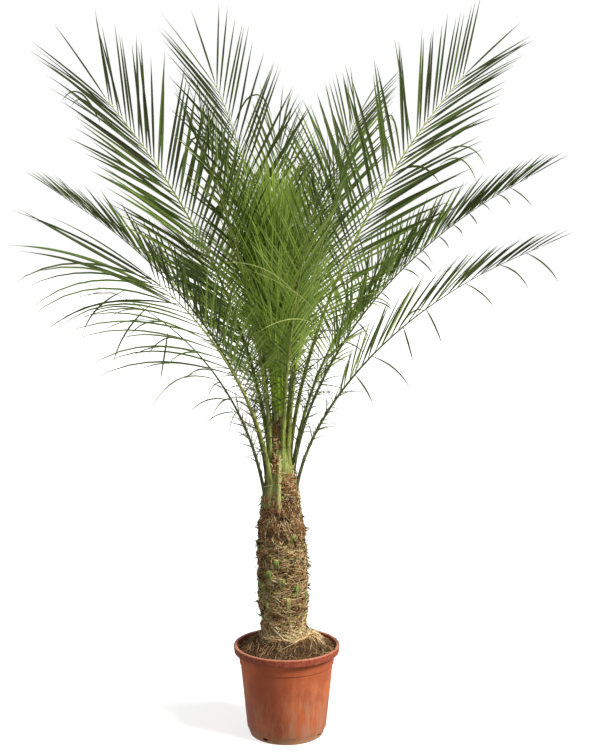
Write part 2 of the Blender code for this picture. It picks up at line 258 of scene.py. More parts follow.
# Leaves, repeated from the CAD model
STALK_SHARE = 0.30
ROLL_SHARE = 0.45
STALK_HALF_WIDTH = 0.0075
CURVE_STEPS = 60
RIB_TIP_HALF_WIDTH = 0.0012
RIB_TAPER = 1.5
RIB_ROWS = 46
RIB_SIDES = 16
RIB_EDGES = (0, 7)
STALK_GREEN, STALK_EDGE, STALK_OLIVE, STALK_DARK, STALK_SPINE = range(5)
DARK_STALKS = ("right_low", "left_low", "right_mid", "left_mid")
OLIVE_STALKS = ("front_left", "right_tall", "front_left_inner", "front_right_inner", "front_mid")

#   name, azimuth, swing, roll, fold, root lean, tip lean, bend, rib length, half width, past tip
LEAVES = (
    ("left_low", 200, 10, 0, -30, 10, 68, 1.10, 0.89, 0.16, 0.12),
    ("right_low", 352, 10, 0, 26, 3, 69, 0.60, 1.16, 0.12, 0.11),
    ("back_low", 108, 0, 0, 20, 8, 70, 0.80, 1.15, 0.20, 0.18),
    ("front_left", 230, 10, 20, 30, 0, 63, 0.60, 0.93, 0.28, 0.42),
    ("right_back_low", 40, 0, 0, 24, 5, 60, 0.80, 1.05, 0.20, 0.18),
    ("left_mid", 168, 10, 0, 34, 0, 59, 0.65, 1.18, 0.18, 0.14),
    ("back_left_low", 122, 0, 0, 24, 8, 62, 0.80, 1.00, 0.18, 0.18),
    ("back_right_tall", 66, 0, 10, 32, 0, 50, 0.80, 1.42, 0.24, 0.24),
    ("right_mid", 0, 10, 0, 34, 5, 64, 0.75, 1.28, 0.17, 0.14),
    ("left_tall", 147, 12, -42, 32, 0, 43, 0.60, 1.39, 0.31, 0.30),
    ("front_left_inner", 222, 0, 0, 34, 2, 28, 1.00, 1.05, 0.15, 0.20),
    ("right_tall", 36, 5, 42, 32, 0, 50, 0.60, 1.58, 0.29, 0.29),
    ("back_inner", 92, 0, 0, 34, 0, 32, 1.00, 1.12, 0.18, 0.22),
    ("front_right_inner", 318, 0, 0, 34, 2, 26, 1.00, 0.92, 0.13, 0.20),
    ("left_inner", 190, 0, 0, 34, 0, 22, 1.00, 1.05, 0.15, 0.22),
    ("back_left_tall", 130, 0, -22, 30, 0, 36, 1.50, 1.28, 0.27, 0.28),
    ("front_mid", 286, 0, 0, 30, 4, 44, 0.90, 0.92, 0.14, 0.16),
)

# How each leaf is dressed: leaflets to a side, their width, length and angle to the rib half way
# along it, how far they droop, the share of them that hang loose, and the tone they are dealt,
# from 0 dark olive to 4 bright green. The tone is partly the leaf's own green and partly painted
# light and shade: the inner leaves, in the crown's shade, are dealt brighter tones against it,
# and the outer fronds darker ones for their shaded sides
#   name: leaflets, width, length, angle, droop, loose, tone
HABITS = {
    "left_low": (9, 0.0070, 0.27, 55, 0.95, 0.00, 1.0),
    "right_low": (22, 0.0145, 0.26, 25, 0.06, 0.03, 1.3),
    "back_low": (40, 0.0105, 0.30, 48, 0.40, 0.05, 1.9),
    "front_left": (30, 0.0135, 0.50, 38, 0.45, 0.03, 2.2),
    "right_back_low": (46, 0.0105, 0.30, 45, 0.28, 0.05, 2.5),
    "left_mid": (36, 0.0140, 0.30, 29, 0.10, 0.04, 1.7),
    "back_left_low": (40, 0.0105, 0.28, 45, 0.32, 0.05, 1.9),
    "back_right_tall": (54, 0.0105, 0.36, 46, 0.14, 0.03, 2.3),
    "right_mid": (42, 0.0140, 0.28, 29, 0.08, 0.04, 1.9),
    "left_tall": (50, 0.0138, 0.42, 48, 0.08, 0.02, 1.5),
    "front_left_inner": (58, 0.0085, 0.27, 40, 0.18, 0.06, 2.7),
    "right_tall": (46, 0.0132, 0.41, 48, 0.12, 0.05, 1.6),
    "back_inner": (50, 0.0085, 0.30, 40, 0.15, 0.04, 2.8),
    "front_right_inner": (58, 0.0085, 0.26, 40, 0.18, 0.06, 2.8),
    "left_inner": (50, 0.0085, 0.29, 42, 0.15, 0.04, 2.7),
    "back_left_tall": (40, 0.0115, 0.38, 47, 0.10, 0.02, 1.5),
    "front_mid": (34, 0.0074, 0.25, 40, 0.16, 0.04, 3.2),
}

# Sides of a leaf, 1 for one and -1 for the other, that are dressed unlike the rest of it: where
# its leaflets are shorter by a factor, and where they only start part of the way up the blade
SHORT_SIDES = {"front_left": (-1.0, 0.52)}
SHORT_WIDTH = 0.65
BARE_SIDES = {"front_left": (1.0, 0.93)}

# How much further the leaflets of some leaves fold up than their blades in the CAD model
EXTRA_FOLDS = {"right_low": math.radians(16.0), "right_mid": math.radians(10.0)}

# How much the leaflets' twist varies, and how much their angle: most on the low and inner leaves
CALM_FLUTTER = math.radians(9.0)
LOW_FLUTTER = math.radians(22.0)
CALM_STIR = math.radians(2.5)
INNER_STIR = math.radians(5.0)
FOLD_STIR = math.radians(4.0)

# Leaflets
LEAFLET_STATIONS = np.array((0.0, 0.035, 0.10, 0.20, 0.30, 0.40, 0.50, 0.61, 0.73, 0.86, 1.0))
LEAFLET_OUTLINE = ((0.0, 0.36), (0.05, 0.45), (0.20, 0.85), (0.42, 1.0), (0.72, 0.72), (1.0, 0.03))
LEAFLET_FOLD = math.radians(34.0)
LEAFLET_LENGTHS = ((0.0, 0.52), (0.16, 0.86), (0.38, 1.0), (1.0, 1.0))
LEAFLET_WIDTHS = ((0.0, 0.60), (0.30, 0.90), (0.60, 1.0), (1.0, 0.66))
LEAFLET_ANGLES = ((0.0, 1.38), (0.45, 1.0), (1.0, 0.55))
END_ANGLE = math.radians(6.0)
SPREAD_BEND = 0.30
CLUSTER_PULL = 0.16
LEAFLET_TWIST = math.radians(24.0)
DROOP_POWER = 1.7
PLACE_STIR = 0.07

# How much single leaflets differ from their row, as factors, and how loose ones do
LENGTH_FACTORS = (0.90, 1.04)
WIDTH_FACTORS = (0.85, 1.10)
DROOP_FACTORS = (0.6, 1.4)
LOOSE_DROOP = 1.9
LOOSE_DROOP_FACTORS = (0.6, 1.3)
LOOSE_LENGTH_FACTORS = (0.5, 0.9)
LOOSE_WIDTH = 0.75

# Leaflet greens, partly the leaves' own and partly painted light and shade: the fresh and bright
# greens are made light enough to light the crown's shaded middle, and the dark olive ones carry the
# shade of the outer fronds
LEAFLET_TONES = (
    ("leaflet_olive", (0.047, 0.053, 0.024)),
    ("leaflet_deep", (0.057, 0.078, 0.026)),
    ("leaflet_mid", (0.098, 0.138, 0.038)),
    ("leaflet_fresh", (0.218, 0.296, 0.076)),
    ("leaflet_bright", (0.290, 0.370, 0.100)),
    ("leaflet_pale", (0.300, 0.345, 0.110)),
)
PALE_TONE = len(LEAFLET_TONES) - 1
LEAF_ROUGHNESS = 0.5
LEAF_THINNESS = 0.45
LEAF_GLOW = 1.9
# How much lighter leaflets are dealt near a leaf's root than at its tip: painted light and shade,
# lighter in the crown's shaded middle and darker at the outer tips
TONE_FADE = 2.3
TONE_SPREAD = 0.6

# Spines and barbs on the stalks, and thin leaflets where a stalk passes into its blade
SPINE_SHARES = (0.08, 0.33)
SPINES_TO_A_LEAF = 16
SPINE_ANGLES = (30.0, 75.0)
SPINE_FOLDS = (-70.0, 80.0)
SPINE_RADII = (0.0014, 0.0024)
SPINE_SAG = 0.15
SPINE_ROWS = 5
BARBS_TO_A_LEAF = 60
BARB_SHARES = (0.02, 0.30)
BARB_ANGLES = (6.0, 30.0)
BARB_LENGTHS = (0.006, 0.020)
BARB_RADII = (0.0010, 0.0017)
WISPS_TO_A_LEAF = 16
WISP_SHARES = (0.17, 0.37)
WISP_ANGLES = (25.0, 80.0)
WISP_FOLDS = (-20.0, 70.0)
WISP_LENGTHS = (0.06, 0.20)
WISP_WIDTHS = (0.0030, 0.0048)
WISP_DROOPS = (0.1, 1.2)

# The long thin leaflets that arch out to the left from the low front leaf
FRINGE_LEAF = "front_left"
FRINGE_COUNT = 15
FRINGE_SHARES = (0.46, 0.99)
FRINGE_LENGTHS = (0.38, 0.50)
FRINGE_WIDTHS = (0.0070, 0.0090)
FRINGE_DROOPS = (0.70, 1.35)
FRINGE_HEADING = (-0.93, -0.12, 0.34)
TO_THE_FRONT = np.array((0.0, -0.8, 0.6))

# Single leaflets that hang below the low leaves on the right: how many, how short and long, how
# far they reach out along the rib before they fall, and how wide they are
HANGERS = {
    "right_low": (7, (0.11, 0.18), (0.35, 1.30), 0.0078),
    "right_mid": (11, (0.04, 0.10), (0.70, 1.20), 0.0065),
}
HANGER_SHARES = (0.36, 0.95)
HANGER_TONE = 1

# Single leaflets that have come away from their row: start, middle and end, width, tone
STRAYS = (
    ((-0.210, -0.300, 1.554), (-0.038, -0.360, 1.529), (0.079, -0.300, 1.383), 0.0030, 5),
    ((0.092, -0.280, 1.358), (0.044, -0.340, 1.462), (-0.152, -0.400, 1.556), 0.0026, 5),
    ((0.080, -0.240, 1.376), (0.003, -0.360, 1.393), (-0.089, -0.420, 1.353), 0.0030, 5),
    ((-0.243, -0.250, 1.228), (-0.345, -0.300, 1.194), (-0.415, -0.300, 1.095), 0.0030, 2),
    ((0.526, 0.350, 1.882), (0.602, 0.350, 1.899), (0.655, 0.330, 1.809), 0.0060, 2),
    ((0.546, 0.350, 1.933), (0.626, 0.330, 1.938), (0.678, 0.300, 1.869), 0.0060, 2),
    ((-0.649, 0.350, 2.041), (-0.712, 0.330, 2.126), (-0.769, 0.300, 2.083), 0.0070, 1),
    ((-0.642, 0.350, 2.027), (-0.692, 0.330, 2.099), (-0.735, 0.300, 2.070), 0.0060, 1),
    ((-0.458, -0.420, 1.482), (-0.534, -0.450, 1.430), (-0.578, -0.450, 1.353), 0.0055, 1),
    ((-0.389, -0.400, 1.438), (-0.458, -0.430, 1.357), (-0.497, -0.430, 1.259), 0.0055, 1),
    ((-0.343, -0.350, 1.357), (-0.355, -0.360, 1.281), (-0.368, -0.360, 1.204), 0.0055, 1),
    ((-0.383, -0.400, 1.502), (-0.570, -0.420, 1.608), (-0.756, -0.420, 1.713), 0.0095, 1),
    ((-0.346, -0.400, 1.467), (-0.571, -0.420, 1.574), (-0.787, -0.420, 1.609), 0.0095, 2),
    ((-0.330, -0.410, 1.453), (-0.541, -0.430, 1.548), (-0.760, -0.430, 1.594), 0.0085, 1),
    ((-0.326, -0.400, 1.444), (-0.528, -0.420, 1.540), (-0.728, -0.420, 1.591), 0.0085, 2),
)
STRAY_ROWS = 16

# Spear: the youngest leaf, a pleated sheaf that opens above into a brush of leaflets
SPEAR_AZIMUTH = math.radians(252.0)
SPEAR_LEAN = math.radians(6.0)
SPEAR_LENGTH = 0.88
SPEAR_GREEN, SPEAR_LIGHT, SPEAR_DEEP, SPEAR_MID = range(4)
# The spear's greens are partly painted light: made light enough to stay bright in the shade that the
# leaves and spines cast over the sheaf
SPEAR_TONES = (
    ("spear_green", (0.430, 0.580, 0.075)),
    ("spear_light", (0.590, 0.730, 0.130)),
    ("spear_deep", (0.262, 0.350, 0.080)),
    ("spear_mid", (0.300, 0.402, 0.080)),
)
SHEAF_OUTLINE = (
    (0.00, 0.008),
    (0.03, 0.013),
    (0.08, 0.021),
    (0.15, 0.026),
    (0.25, 0.031),
    (0.40, 0.033),
    (0.62, 0.010),
)
SHEAF_TOP = SHEAF_OUTLINE[-1][0]
SHEAF_ROWS = 50
SHEAF_PLEATS = 12
SHEAF_STEPS = SHEAF_PLEATS * 6
SHEAF_LEAFLETS = 90
SHEAF_LEAFLET_ROWS = 12
SHEAF_LEAFLET_WIDTHS = (0.005, 0.008)
SHEAF_LEAFLET_TONES = {SPEAR_GREEN: 0.38, SPEAR_LIGHT: 0.50, SPEAR_DEEP: 0.12}
BRUSH_LEAFLETS = 1500
BRUSH_ROWS = 10
BRUSH_SHARES = (0.22, 0.68)
BRUSH_ANGLES = (8.0, 46.0)
BRUSH_CLOSING = 0.35
BRUSH_LENGTHS = (0.20, 0.38)
BRUSH_WIDTHS = (0.0038, 0.0062)
BRUSH_TONES = {SPEAR_DEEP: 0.60, SPEAR_GREEN: 0.08, SPEAR_MID: 0.32}

# Studio
PHOTO_SIZE = (599, 756)
CAMERA_PLACE = (0.0423, -4.0, 1.6246)
CAMERA_PITCH = math.radians(83.69)
CAMERA_FOCUS = 1246.95
SENSOR = 36.0
BACKDROP = 1.0
AMBIENT = 0.42
KEY_FROM = (0.95, -0.52, 1.05)
KEY_STRENGTH = 5.0
KEY_SPREAD = math.radians(20.0)
KEY_COLOR = (1.0, 0.98, 0.94)
FLOOR_PAINT = (0.50, 0.50, 0.50)
FLOOR_GLOW = 0.72
WHITE = (1.0, 1.0, 1.0)


# Materials

class Paint:
    """A Principled material, with short ways to wire patterns into it."""

    def __init__(self, name, color, roughness, specular=0.25):
        self.material = bpy.data.materials.new(name)
        self.material.use_nodes = True
        self.material.diffuse_color = (*color, 1.0)
        self.tree = self.material.node_tree
        self.shader = self.tree.nodes["Principled BSDF"]
        self.set("Base Color", color)
        self.set("Roughness", roughness)
        self.set("Specular IOR Level", specular)

    def feed(self, socket, value):
        """Gives a socket a constant, a colour or another node's output."""
        if isinstance(value, bpy.types.NodeSocket):
            self.tree.links.new(value, socket)
        else:
            socket.default_value = (*value, 1.0) if isinstance(value, tuple) else value

    def set(self, socket, value):
        self.feed(self.shader.inputs[socket], value)

    def node(self, kind, inputs, output=0, **settings):
        """One output of a new node, once its settings are made and its sockets are fed."""
        made = self.tree.nodes.new("ShaderNode" + kind)
        for setting, value in settings.items():
            setattr(made, setting, value)
        for socket, value in inputs.items():
            self.feed(made.inputs[socket], value)
        return made.outputs[output]

    def place(self, stretch=(1.0, 1.0, 1.0)):
        inputs = {"Vector": self.node("TexCoord", {}, "Object"), "Scale": Vector(stretch)}
        return self.node("Mapping", inputs)

    def noise(self, scale, stretch=(1.0, 1.0, 1.0), detail=4.0, roughness=0.6):
        inputs = {"Scale": scale, "Detail": detail, "Roughness": roughness}
        return self.node("TexNoise", {"Vector": self.place(stretch), **inputs})

    def along(self, axis):
        """How far along an axis of the frame the surface lies."""
        return self.node("SeparateXYZ", {"Vector": self.place()}, axis)

    def band(self, value, low, high, start=0.0, end=1.0):
        """The value eased from start to end as it goes from low to high."""
        inputs = {"Value": value, "From Min": low, "From Max": high, "To Min": start, "To Max": end}
        return self.node("MapRange", inputs, interpolation_type="SMOOTHSTEP")

    def product(self, first, second):
        return self.node("Math", {0: first, 1: second}, operation="MULTIPLY")

    def mix(self, factor, first, second):
        """One colour where the factor is 0, and the other where it is 1."""
        inputs = {"Factor": factor, 6: first, 7: second}
        return self.node("Mix", inputs, 2, data_type="RGBA")

    def let_light_through(self, color, share):
        """Shows the light behind the surface too, as a leaf does."""
        through = self.node("BsdfTranslucent", {"Color": color})
        both = self.node("MixShader", {"Fac": share, 1: self.shader.outputs["BSDF"], 2: through})
        self.feed(self.tree.nodes["Material Output"].inputs["Surface"], both)

    def set_bump(self, height, distance, strength=1.0):
        inputs = {"Distance": distance, "Strength": strength, "Height": height}
        self.set("Normal", self.node("Bump", inputs))


def shaded(color, factor):
    return tuple(min(1.0, channel * factor) for channel in color)


def mottled_paint(name, color, roughness, scale, stretch=(1.0, 1.0, 1.0), depth=0.25, bump=0.0,
                  specular=0.25):
    """A colour broken up by a fine darker and lighter pattern, rougher where it is darker."""
    paint = Paint(name, color, roughness, specular)
    pattern = paint.band(paint.noise(scale, stretch), 0.35, 0.65)
    paint.set("Base Color", paint.mix(pattern, shaded(color, 1.0 - depth), shaded(color, 1.0 + depth)))
    paint.set("Roughness", paint.band(pattern, 0.0, 1.0, roughness + 0.08, roughness - 0.08))
    if bump:
        paint.set_bump(pattern, bump)
    return paint


def mottled(*look, **more):
    return mottled_paint(*look, **more).material


def leafy(name, color, scale, stretch, depth):
    """A thin leaf's material: matt green that glows a brighter green with light from behind."""
    paint = mottled_paint(name, color, LEAF_ROUGHNESS, scale, stretch, depth, specular=0.10)
    paint.let_light_through(shaded(color, LEAF_GLOW), LEAF_THINNESS)
    return paint.material


# Mesh helpers

def linked(name, data):
    """A new object in the scene, of this mesh, light or camera."""
    item = bpy.data.objects.new(name, data)
    bpy.context.scene.collection.objects.link(item)
    return item


def finished(name, bm):
    """A new mesh object made of a bmesh, which is used up."""
    mesh = bpy.data.meshes.new(name)
    bm.to_mesh(mesh)
    bm.free()
    return linked(name, mesh)


def unit(vectors):
    return vectors / np.maximum(np.linalg.norm(vectors, axis=-1, keepdims=True), 1e-12)


def eased(outline, at):
    """Values at places on an outline of (place, value) pairs, eased between its points."""
    places, values = np.array(outline).T
    at = np.asarray(at, float)
    index = np.clip(np.searchsorted(places, at, side="right") - 1, 0, len(places) - 2)
    share = (at - places[index]) / (places[index + 1] - places[index])
    share = np.clip(share, 0.0, 1.0)
    ease = share * share * (3.0 - 2.0 * share)
    return values[index] + (values[index + 1] - values[index]) * ease


def full_turn(steps):
    """Azimuths spaced evenly all the way round."""
    return np.arange(steps) * math.tau / steps


def radial(angle):
    """Level unit vectors at these azimuths."""
    return np.stack((np.cos(angle), np.sin(angle), np.zeros_like(angle)), axis=-1)


def out_from(middle, angle, reach):
    """Points that lie this far out from the middle, level with it, at these azimuths."""
    return middle + radial(angle) * reach[..., None]


def over(x, height):
    """Points at these heights above a place on the X axis."""
    points = np.zeros(np.shape(height) + (3,))
    points[..., 0] = x
    points[..., 2] = height
    return points


def web(count, rows, across, closed):
    """The quads of count separate grids, each of rows of points, joined round if closed."""
    columns = across if closed else across - 1
    thing, row, column = np.meshgrid(
        np.arange(count), np.arange(rows - 1), np.arange(columns), indexing="ij"
    )
    first = thing * rows * across + row * across
    after = (column + 1) % across
    quads = np.stack((first + column, first + after, first + across + after,
                      first + across + column), axis=-1)
    return quads.reshape(-1, 4).tolist()


def end_caps(count, rows, across):
    """The two end faces of each of count closed grids."""
    caps = []
    for thing in range(count):
        first = thing * rows * across
        last = first + (rows - 1) * across
        caps.append(list(range(first, first + across))[::-1])
        caps.append(list(range(last, last + across)))
    return caps


class Skin:
    """Points and faces gathered for one piece; each face has the number of its material."""

    def __init__(self):
        self.points = []
        self.faces = []
        self.tones = []

    def add(self, points, faces, tones):
        start = len(self.points)
        self.points.extend(np.asarray(points).reshape(-1, 3).tolist())
        self.faces.extend([start + corner for corner in face] for face in faces)
        self.tones.extend(tones)

    def add_grids(self, points, tones, closed, capped=False):
        """Grids of the shape (count, rows, across, 3), with one tone for each."""
        count, rows, across, _ = points.shape
        faces = web(count, rows, across, closed)
        tones = np.asarray(tones, int)
        face_tones = np.repeat(tones, len(faces) // count).tolist()
        if capped:
            faces += end_caps(count, rows, across)
            face_tones += np.repeat(tones, 2).tolist()
        self.add(points, faces, face_tones)

    def piece(self, name, materials, slot, nodes=(), crease=50.0):
        """The gathered faces as an object that rides on the CAD body."""
        mesh = bpy.data.meshes.new(name)
        mesh.from_pydata(self.points, [], self.faces)
        for material in materials:
            mesh.materials.append(material)
        mesh.polygons.foreach_set("material_index", self.tones)
        mesh.shade_smooth()
        mesh.set_sharp_from_angle(angle=math.radians(crease))
        settle(linked(name, mesh), nodes)


def settle(item, nodes=()):
    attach(item, BODY)
    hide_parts(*nodes)


def tubes(paths, radii, sides=3):
    """Round strands along paths of the shape (count, rows, 3), with a radius at each row."""
    along = unit(np.gradient(paths, axis=1))
    guide = unit(np.cross(along[:, :1], UP + 0.3 * along[:, :1, ::-1]))
    across = unit(guide - along * np.sum(guide * along, axis=-1, keepdims=True))
    over = np.cross(along, across)
    turn = full_turn(sides)
    ring = (across[:, :, None] * np.cos(turn)[:, None] + over[:, :, None] * np.sin(turn)[:, None])
    return paths[:, :, None] + ring * radii[:, :, None, None]


def needle(rows, radius):
    """Radii that taper off towards both ends of each strand."""
    along = np.linspace(0.0, 1.0, rows)
    swell = 0.35 + 0.65 * np.sin(math.pi * along) ** 0.5
    return radius[:, None] * swell


def grid_piece(name, points, materials, slot, node, crease, tone=0):
    """One closed grid of points as a piece of one tone, in place of a node of the CAD model."""
    skin = Skin()
    skin.add_grids(points[None], [tone], closed=True, capped=True)
    skin.piece(name, materials, slot, [node], crease)


def strand_piece(name, paths, radii, tones, materials, slot="trunk_fibre", sides=3):
    """Round strands joined into one piece."""
    skin = Skin()
    skin.add_grids(tubes(paths, radii, sides), tones, closed=True, capped=True)
    skin.piece(name, materials, slot)


def pick(rng, choice, chosen, others):
    """Random values from one range where the choice holds, and from the other elsewhere."""
    first = rng.uniform(*chosen, len(choice))
    second = rng.uniform(*others, len(choice))
    return np.where(choice, first, second)


def dealt(rng, shares, count=None):
    """Random tones, dealt in these shares."""
    return rng.choice(list(shares), count, p=list(shares.values()))


# Pot

def arc(center, radius, start, end):
    """Points of a rounded corner in the profile's plane, from one angle to another."""
    angles = np.radians(np.linspace(start, end, ROUND_STEPS + 1))
    return [(center[0] + radius * math.cos(a), center[1] + radius * math.sin(a)) for a in angles]


def wall_radius(height):
    share = (height - FOOT_HEIGHT) / (POT_HEIGHT - RIM_DEPTH - FOOT_HEIGHT)
    return BODY_FOOT_RADIUS + (BODY_TOP_RADIUS - BODY_FOOT_RADIUS) * share


def inner_radius(height):
    return wall_radius(height) - COLLAR_STEP - POT_WALL


def flare_radius(height):
    """The inner radius of the rim, which flares out from the body's inside."""
    rim_under = POT_HEIGHT - RIM_DEPTH
    share = (height - rim_under) / (RIM_DEPTH - RIM_ROUND)
    return inner_radius(rim_under) * (1.0 - share) + (RIM_RADIUS - RIM_WALL) * share


def pot_profile():
    """From the middle of the inside, up over the rim and down to the middle of the underside."""
    rim_under = POT_HEIGHT - RIM_DEPTH
    collar = rim_under - COLLAR_DEPTH
    lip_in = RIM_RADIUS - RIM_WALL + RIM_ROUND
    lip_out = RIM_RADIUS - RIM_ROUND
    lip = POT_HEIGHT - RIM_ROUND
    profile = [(0.0, POT_FLOOR), (FOOT_RADIUS - POT_WALL, POT_FLOOR)]
    profile += [(inner_radius(FOOT_HEIGHT), FOOT_HEIGHT), (inner_radius(rim_under), rim_under)]
    profile += arc((lip_in, lip), RIM_ROUND, 180.0, 90.0)
    profile += arc((lip_out, lip), RIM_ROUND, 90.0, 0.0)
    hem = rim_under + RIM_TUCK
    profile += arc((RIM_RADIUS - 2.0 * RIM_TUCK, hem), RIM_TUCK, 0.0, -90.0)
    profile += [(wall_radius(rim_under) + RIM_TUCK, rim_under)]
    profile += [(wall_radius(rim_under), rim_under - RIM_TUCK), (wall_radius(collar), collar)]
    profile += [(wall_radius(collar) - COLLAR_STEP, collar - COLLAR_STEP)]
    profile += [(BODY_FOOT_RADIUS - COLLAR_STEP, FOOT_HEIGHT)]
    profile += [(BODY_FOOT_RADIUS - 1.8 * COLLAR_STEP, FOOT_HEIGHT - COLLAR_STEP)]
    profile += arc((FOOT_RADIUS - FOOT_ROUND, FOOT_ROUND), FOOT_ROUND, 0.0, -90.0)
    profile += [(FOOT_RADIUS - 4.0 * FOOT_ROUND, 0.0), (0.0, 0.0)]
    return profile


def turned(name, profile, steps):
    """A mesh object of revolution about the Z axis."""
    radii, heights = np.array(profile).T
    rows = out_from(UP * heights[:, None, None], full_turn(steps), radii[:, None])
    bm = bmesh.new()
    points = [bm.verts.new(point) for point in rows.reshape(-1, 3)]
    for face in web(1, len(profile), steps, closed=True):
        bm.faces.new([points[corner] for corner in face])
    bmesh.ops.remove_doubles(bm, verts=bm.verts, dist=1e-6)
    bmesh.ops.dissolve_degenerate(bm, edges=bm.edges, dist=1e-6)
    bmesh.ops.recalc_face_normals(bm, faces=bm.faces)
    return finished(name, bm)


def drain_cutter():
    """Rounded boxes through the wall at its foot, evenly round the pot."""
    bm = bmesh.new()
    height = POT_FLOOR + (DRAIN_HEIGHT + POT_WALL) / 2
    for index in range(DRAIN_COUNT):
        made = bmesh.ops.create_cube(bm, size=1.0)["verts"]
        bmesh.ops.scale(bm, verts=made, vec=(6.0 * POT_WALL, DRAIN_WIDTH, DRAIN_HEIGHT))
        bmesh.ops.translate(bm, verts=made, vec=(FOOT_RADIUS, 0.0, height))
        turn = Matrix.Rotation(DRAIN_AZIMUTH + math.tau * index / DRAIN_COUNT, 3, "Z")
        bmesh.ops.rotate(bm, verts=made, cent=(0.0, 0.0, 0.0), matrix=turn)
    bmesh.ops.bevel(bm, geom=bm.edges, offset=DRAIN_ROUND, segments=3, affect="EDGES", profile=0.5)
    return finished("drain_cutter", bm)


def apply_cut(item, cutter):
    """Cuts the item and takes the cutter away."""
    boolean = item.modifiers.new("Cut", "BOOLEAN")
    boolean.object = cutter
    bpy.context.view_layer.update()
    depsgraph = bpy.context.evaluated_depsgraph_get()
    mesh = bpy.data.meshes.new_from_object(item.evaluated_get(depsgraph))
    item.modifiers.clear()
    item.data = mesh
    bpy.data.objects.remove(cutter)


def stained_body(paint, lime):
    """Cloudy terracotta, with lime runs that are strongest low on the sides."""
    clouds = paint.band(paint.noise(6.0, detail=6.0), 0.42, 0.58)
    body = paint.mix(clouds, POT_DEEP, POT_ORANGE)
    lower = paint.band(paint.along("Z"), 0.04, 0.25, 0.70, 0.10)
    return paint.mix(paint.product(lime, lower), body, LIME)


def add_rim(paint, body):
    """The rim's darker, scuffed band, with a painted highlight along the top of its lip."""
    height = paint.along("Z")
    rim_under = POT_HEIGHT - RIM_DEPTH
    rim = paint.band(height, rim_under - 0.001, rim_under + 0.001)
    scuffs = paint.band(paint.noise(90.0), 0.4, 0.6)
    body = paint.mix(rim, body, paint.mix(scuffs, RIM_DEEP, RIM_SCUFFED))
    # Painted highlight: the top of the lip is painted paler
    lip = paint.band(height, POT_HEIGHT - RIM_ROUND * 0.7, POT_HEIGHT - 0.0006, 0.0, 0.60)
    return paint.mix(lip, body, LIP_HIGHLIGHT)


def add_dust(paint, body):
    """Smears of dust round the foot, most of them on the left."""
    foot = paint.band(paint.along("Z"), 0.010, 0.046, 0.95, 0.0)
    smears = paint.band(paint.noise(26.0, (1.0, 1.0, 1.6), 6.0), 0.36, 0.56)
    leftward = paint.band(paint.along("X"), -0.08, 0.03, 1.0, 0.55)
    return paint.mix(paint.product(paint.product(foot, smears), leftward), body, FOOT_DUST)


def pot_material():
    """Terracotta plastic with lime runs down its sides and dust round its foot."""
    paint = Paint("pot_plastic", POT_PLAIN, 0.48)
    runs = paint.band(paint.noise(55.0, (1.0, 1.0, 0.12), 8.0, 0.75), 0.40, 0.62)
    patches = paint.band(paint.noise(5.5, (1.0, 1.0, 0.6), 4.0), 0.36, 0.58)
    lime = paint.product(runs, patches)
    paint.set("Base Color", add_dust(paint, add_rim(paint, stained_body(paint, lime))))
    paint.set("Roughness", paint.band(lime, 0.0, 0.8, 0.42, 0.70))
    paint.set_bump(paint.noise(420.0, detail=3.0), 0.0003, 0.6)
    return paint.material


def make_pot():
    pot = turned("nursery_pot", pot_profile(), POT_STEPS)
    apply_cut(pot, drain_cutter())
    pot.data.materials.clear()
    pot.data.materials.append(pot_material())
    pot.data.shade_smooth()
    pot.data.set_sharp_from_angle(angle=POT_CREASE)
    settle(pot, ["pot"])


# Soil

def lumps(points, layers):
    """The summed heights of noise layers of (size, height) at points."""
    total = np.zeros(points.size // 3)
    for size, height in layers:
        total += [height * noise.noise(Vector(point) / size) for point in points.reshape(-1, 3)]
    return total.reshape(points.shape[:-1])


def soil_height(place):
    """The soil's mean height at level places of the shape (..., 2)."""
    distance = np.hypot(place[..., 0], place[..., 1])
    wall = flare_radius(SOIL_EDGE)
    slope = ((0.0, SEAT_HEIGHT), (SEAT_RADIUS, SEAT_HEIGHT - 0.004), (wall, SOIL_EDGE - SOIL_SINK))
    return eased(slope, distance)


def soil_materials():
    peat = Paint("peat", (0.060, 0.038, 0.020), 0.95, 0.2)
    peat.set_bump(paint_bits(peat), 0.0012)
    return [
        peat.material,
        mottled("peat_crumb", (0.075, 0.046, 0.024), 0.95, 300.0, depth=0.5),
        mottled("peat_dark", (0.030, 0.019, 0.011), 0.95, 300.0, depth=0.4),
        mottled("peat_straw", (0.44, 0.285, 0.125), 0.85, 200.0),
        mottled("peat_root", (0.150, 0.080, 0.034), 0.90, 200.0),
    ]


def paint_bits(paint):
    """Fine specks of lighter bark and straw over dark peat; gives back the pattern."""
    coarse = paint.noise(90.0, detail=8.0, roughness=0.75)
    fine = paint.noise(300.0, detail=4.0, roughness=0.7)
    specks = paint.band(fine, 0.58, 0.68)
    body = paint.mix(paint.band(coarse, 0.35, 0.62), (0.012, 0.007, 0.004), (0.058, 0.032, 0.014))
    paint.set("Base Color", paint.mix(specks, body, (0.16, 0.095, 0.042)))
    return coarse


def make_soil():
    """A heaped bed of lumpy peat, with a skirt that goes down the wall and a flat underside."""
    wall = flare_radius(SOIL_EDGE - SOIL_SINK) - 0.0004
    outward = radial(full_turn(SOIL_STEPS))[None]
    bed = outward * np.linspace(0.03, wall, SOIL_RINGS)[:, None, None]
    bed[..., 2] = soil_height(bed) + lumps(bed, SOIL_LUMPS)
    skirts = [outward * (inner_radius(low) - 0.0004) + UP * low
              for low in (POT_HEIGHT - RIM_DEPTH, SOIL_EDGE - 0.05)]
    materials = soil_materials()
    points = np.concatenate((bed, *skirts))
    grid_piece("peat_bed", points, materials[:1], "peat", "soil", 80.0)
    make_crumbs(materials)
    make_soil_straw(materials)


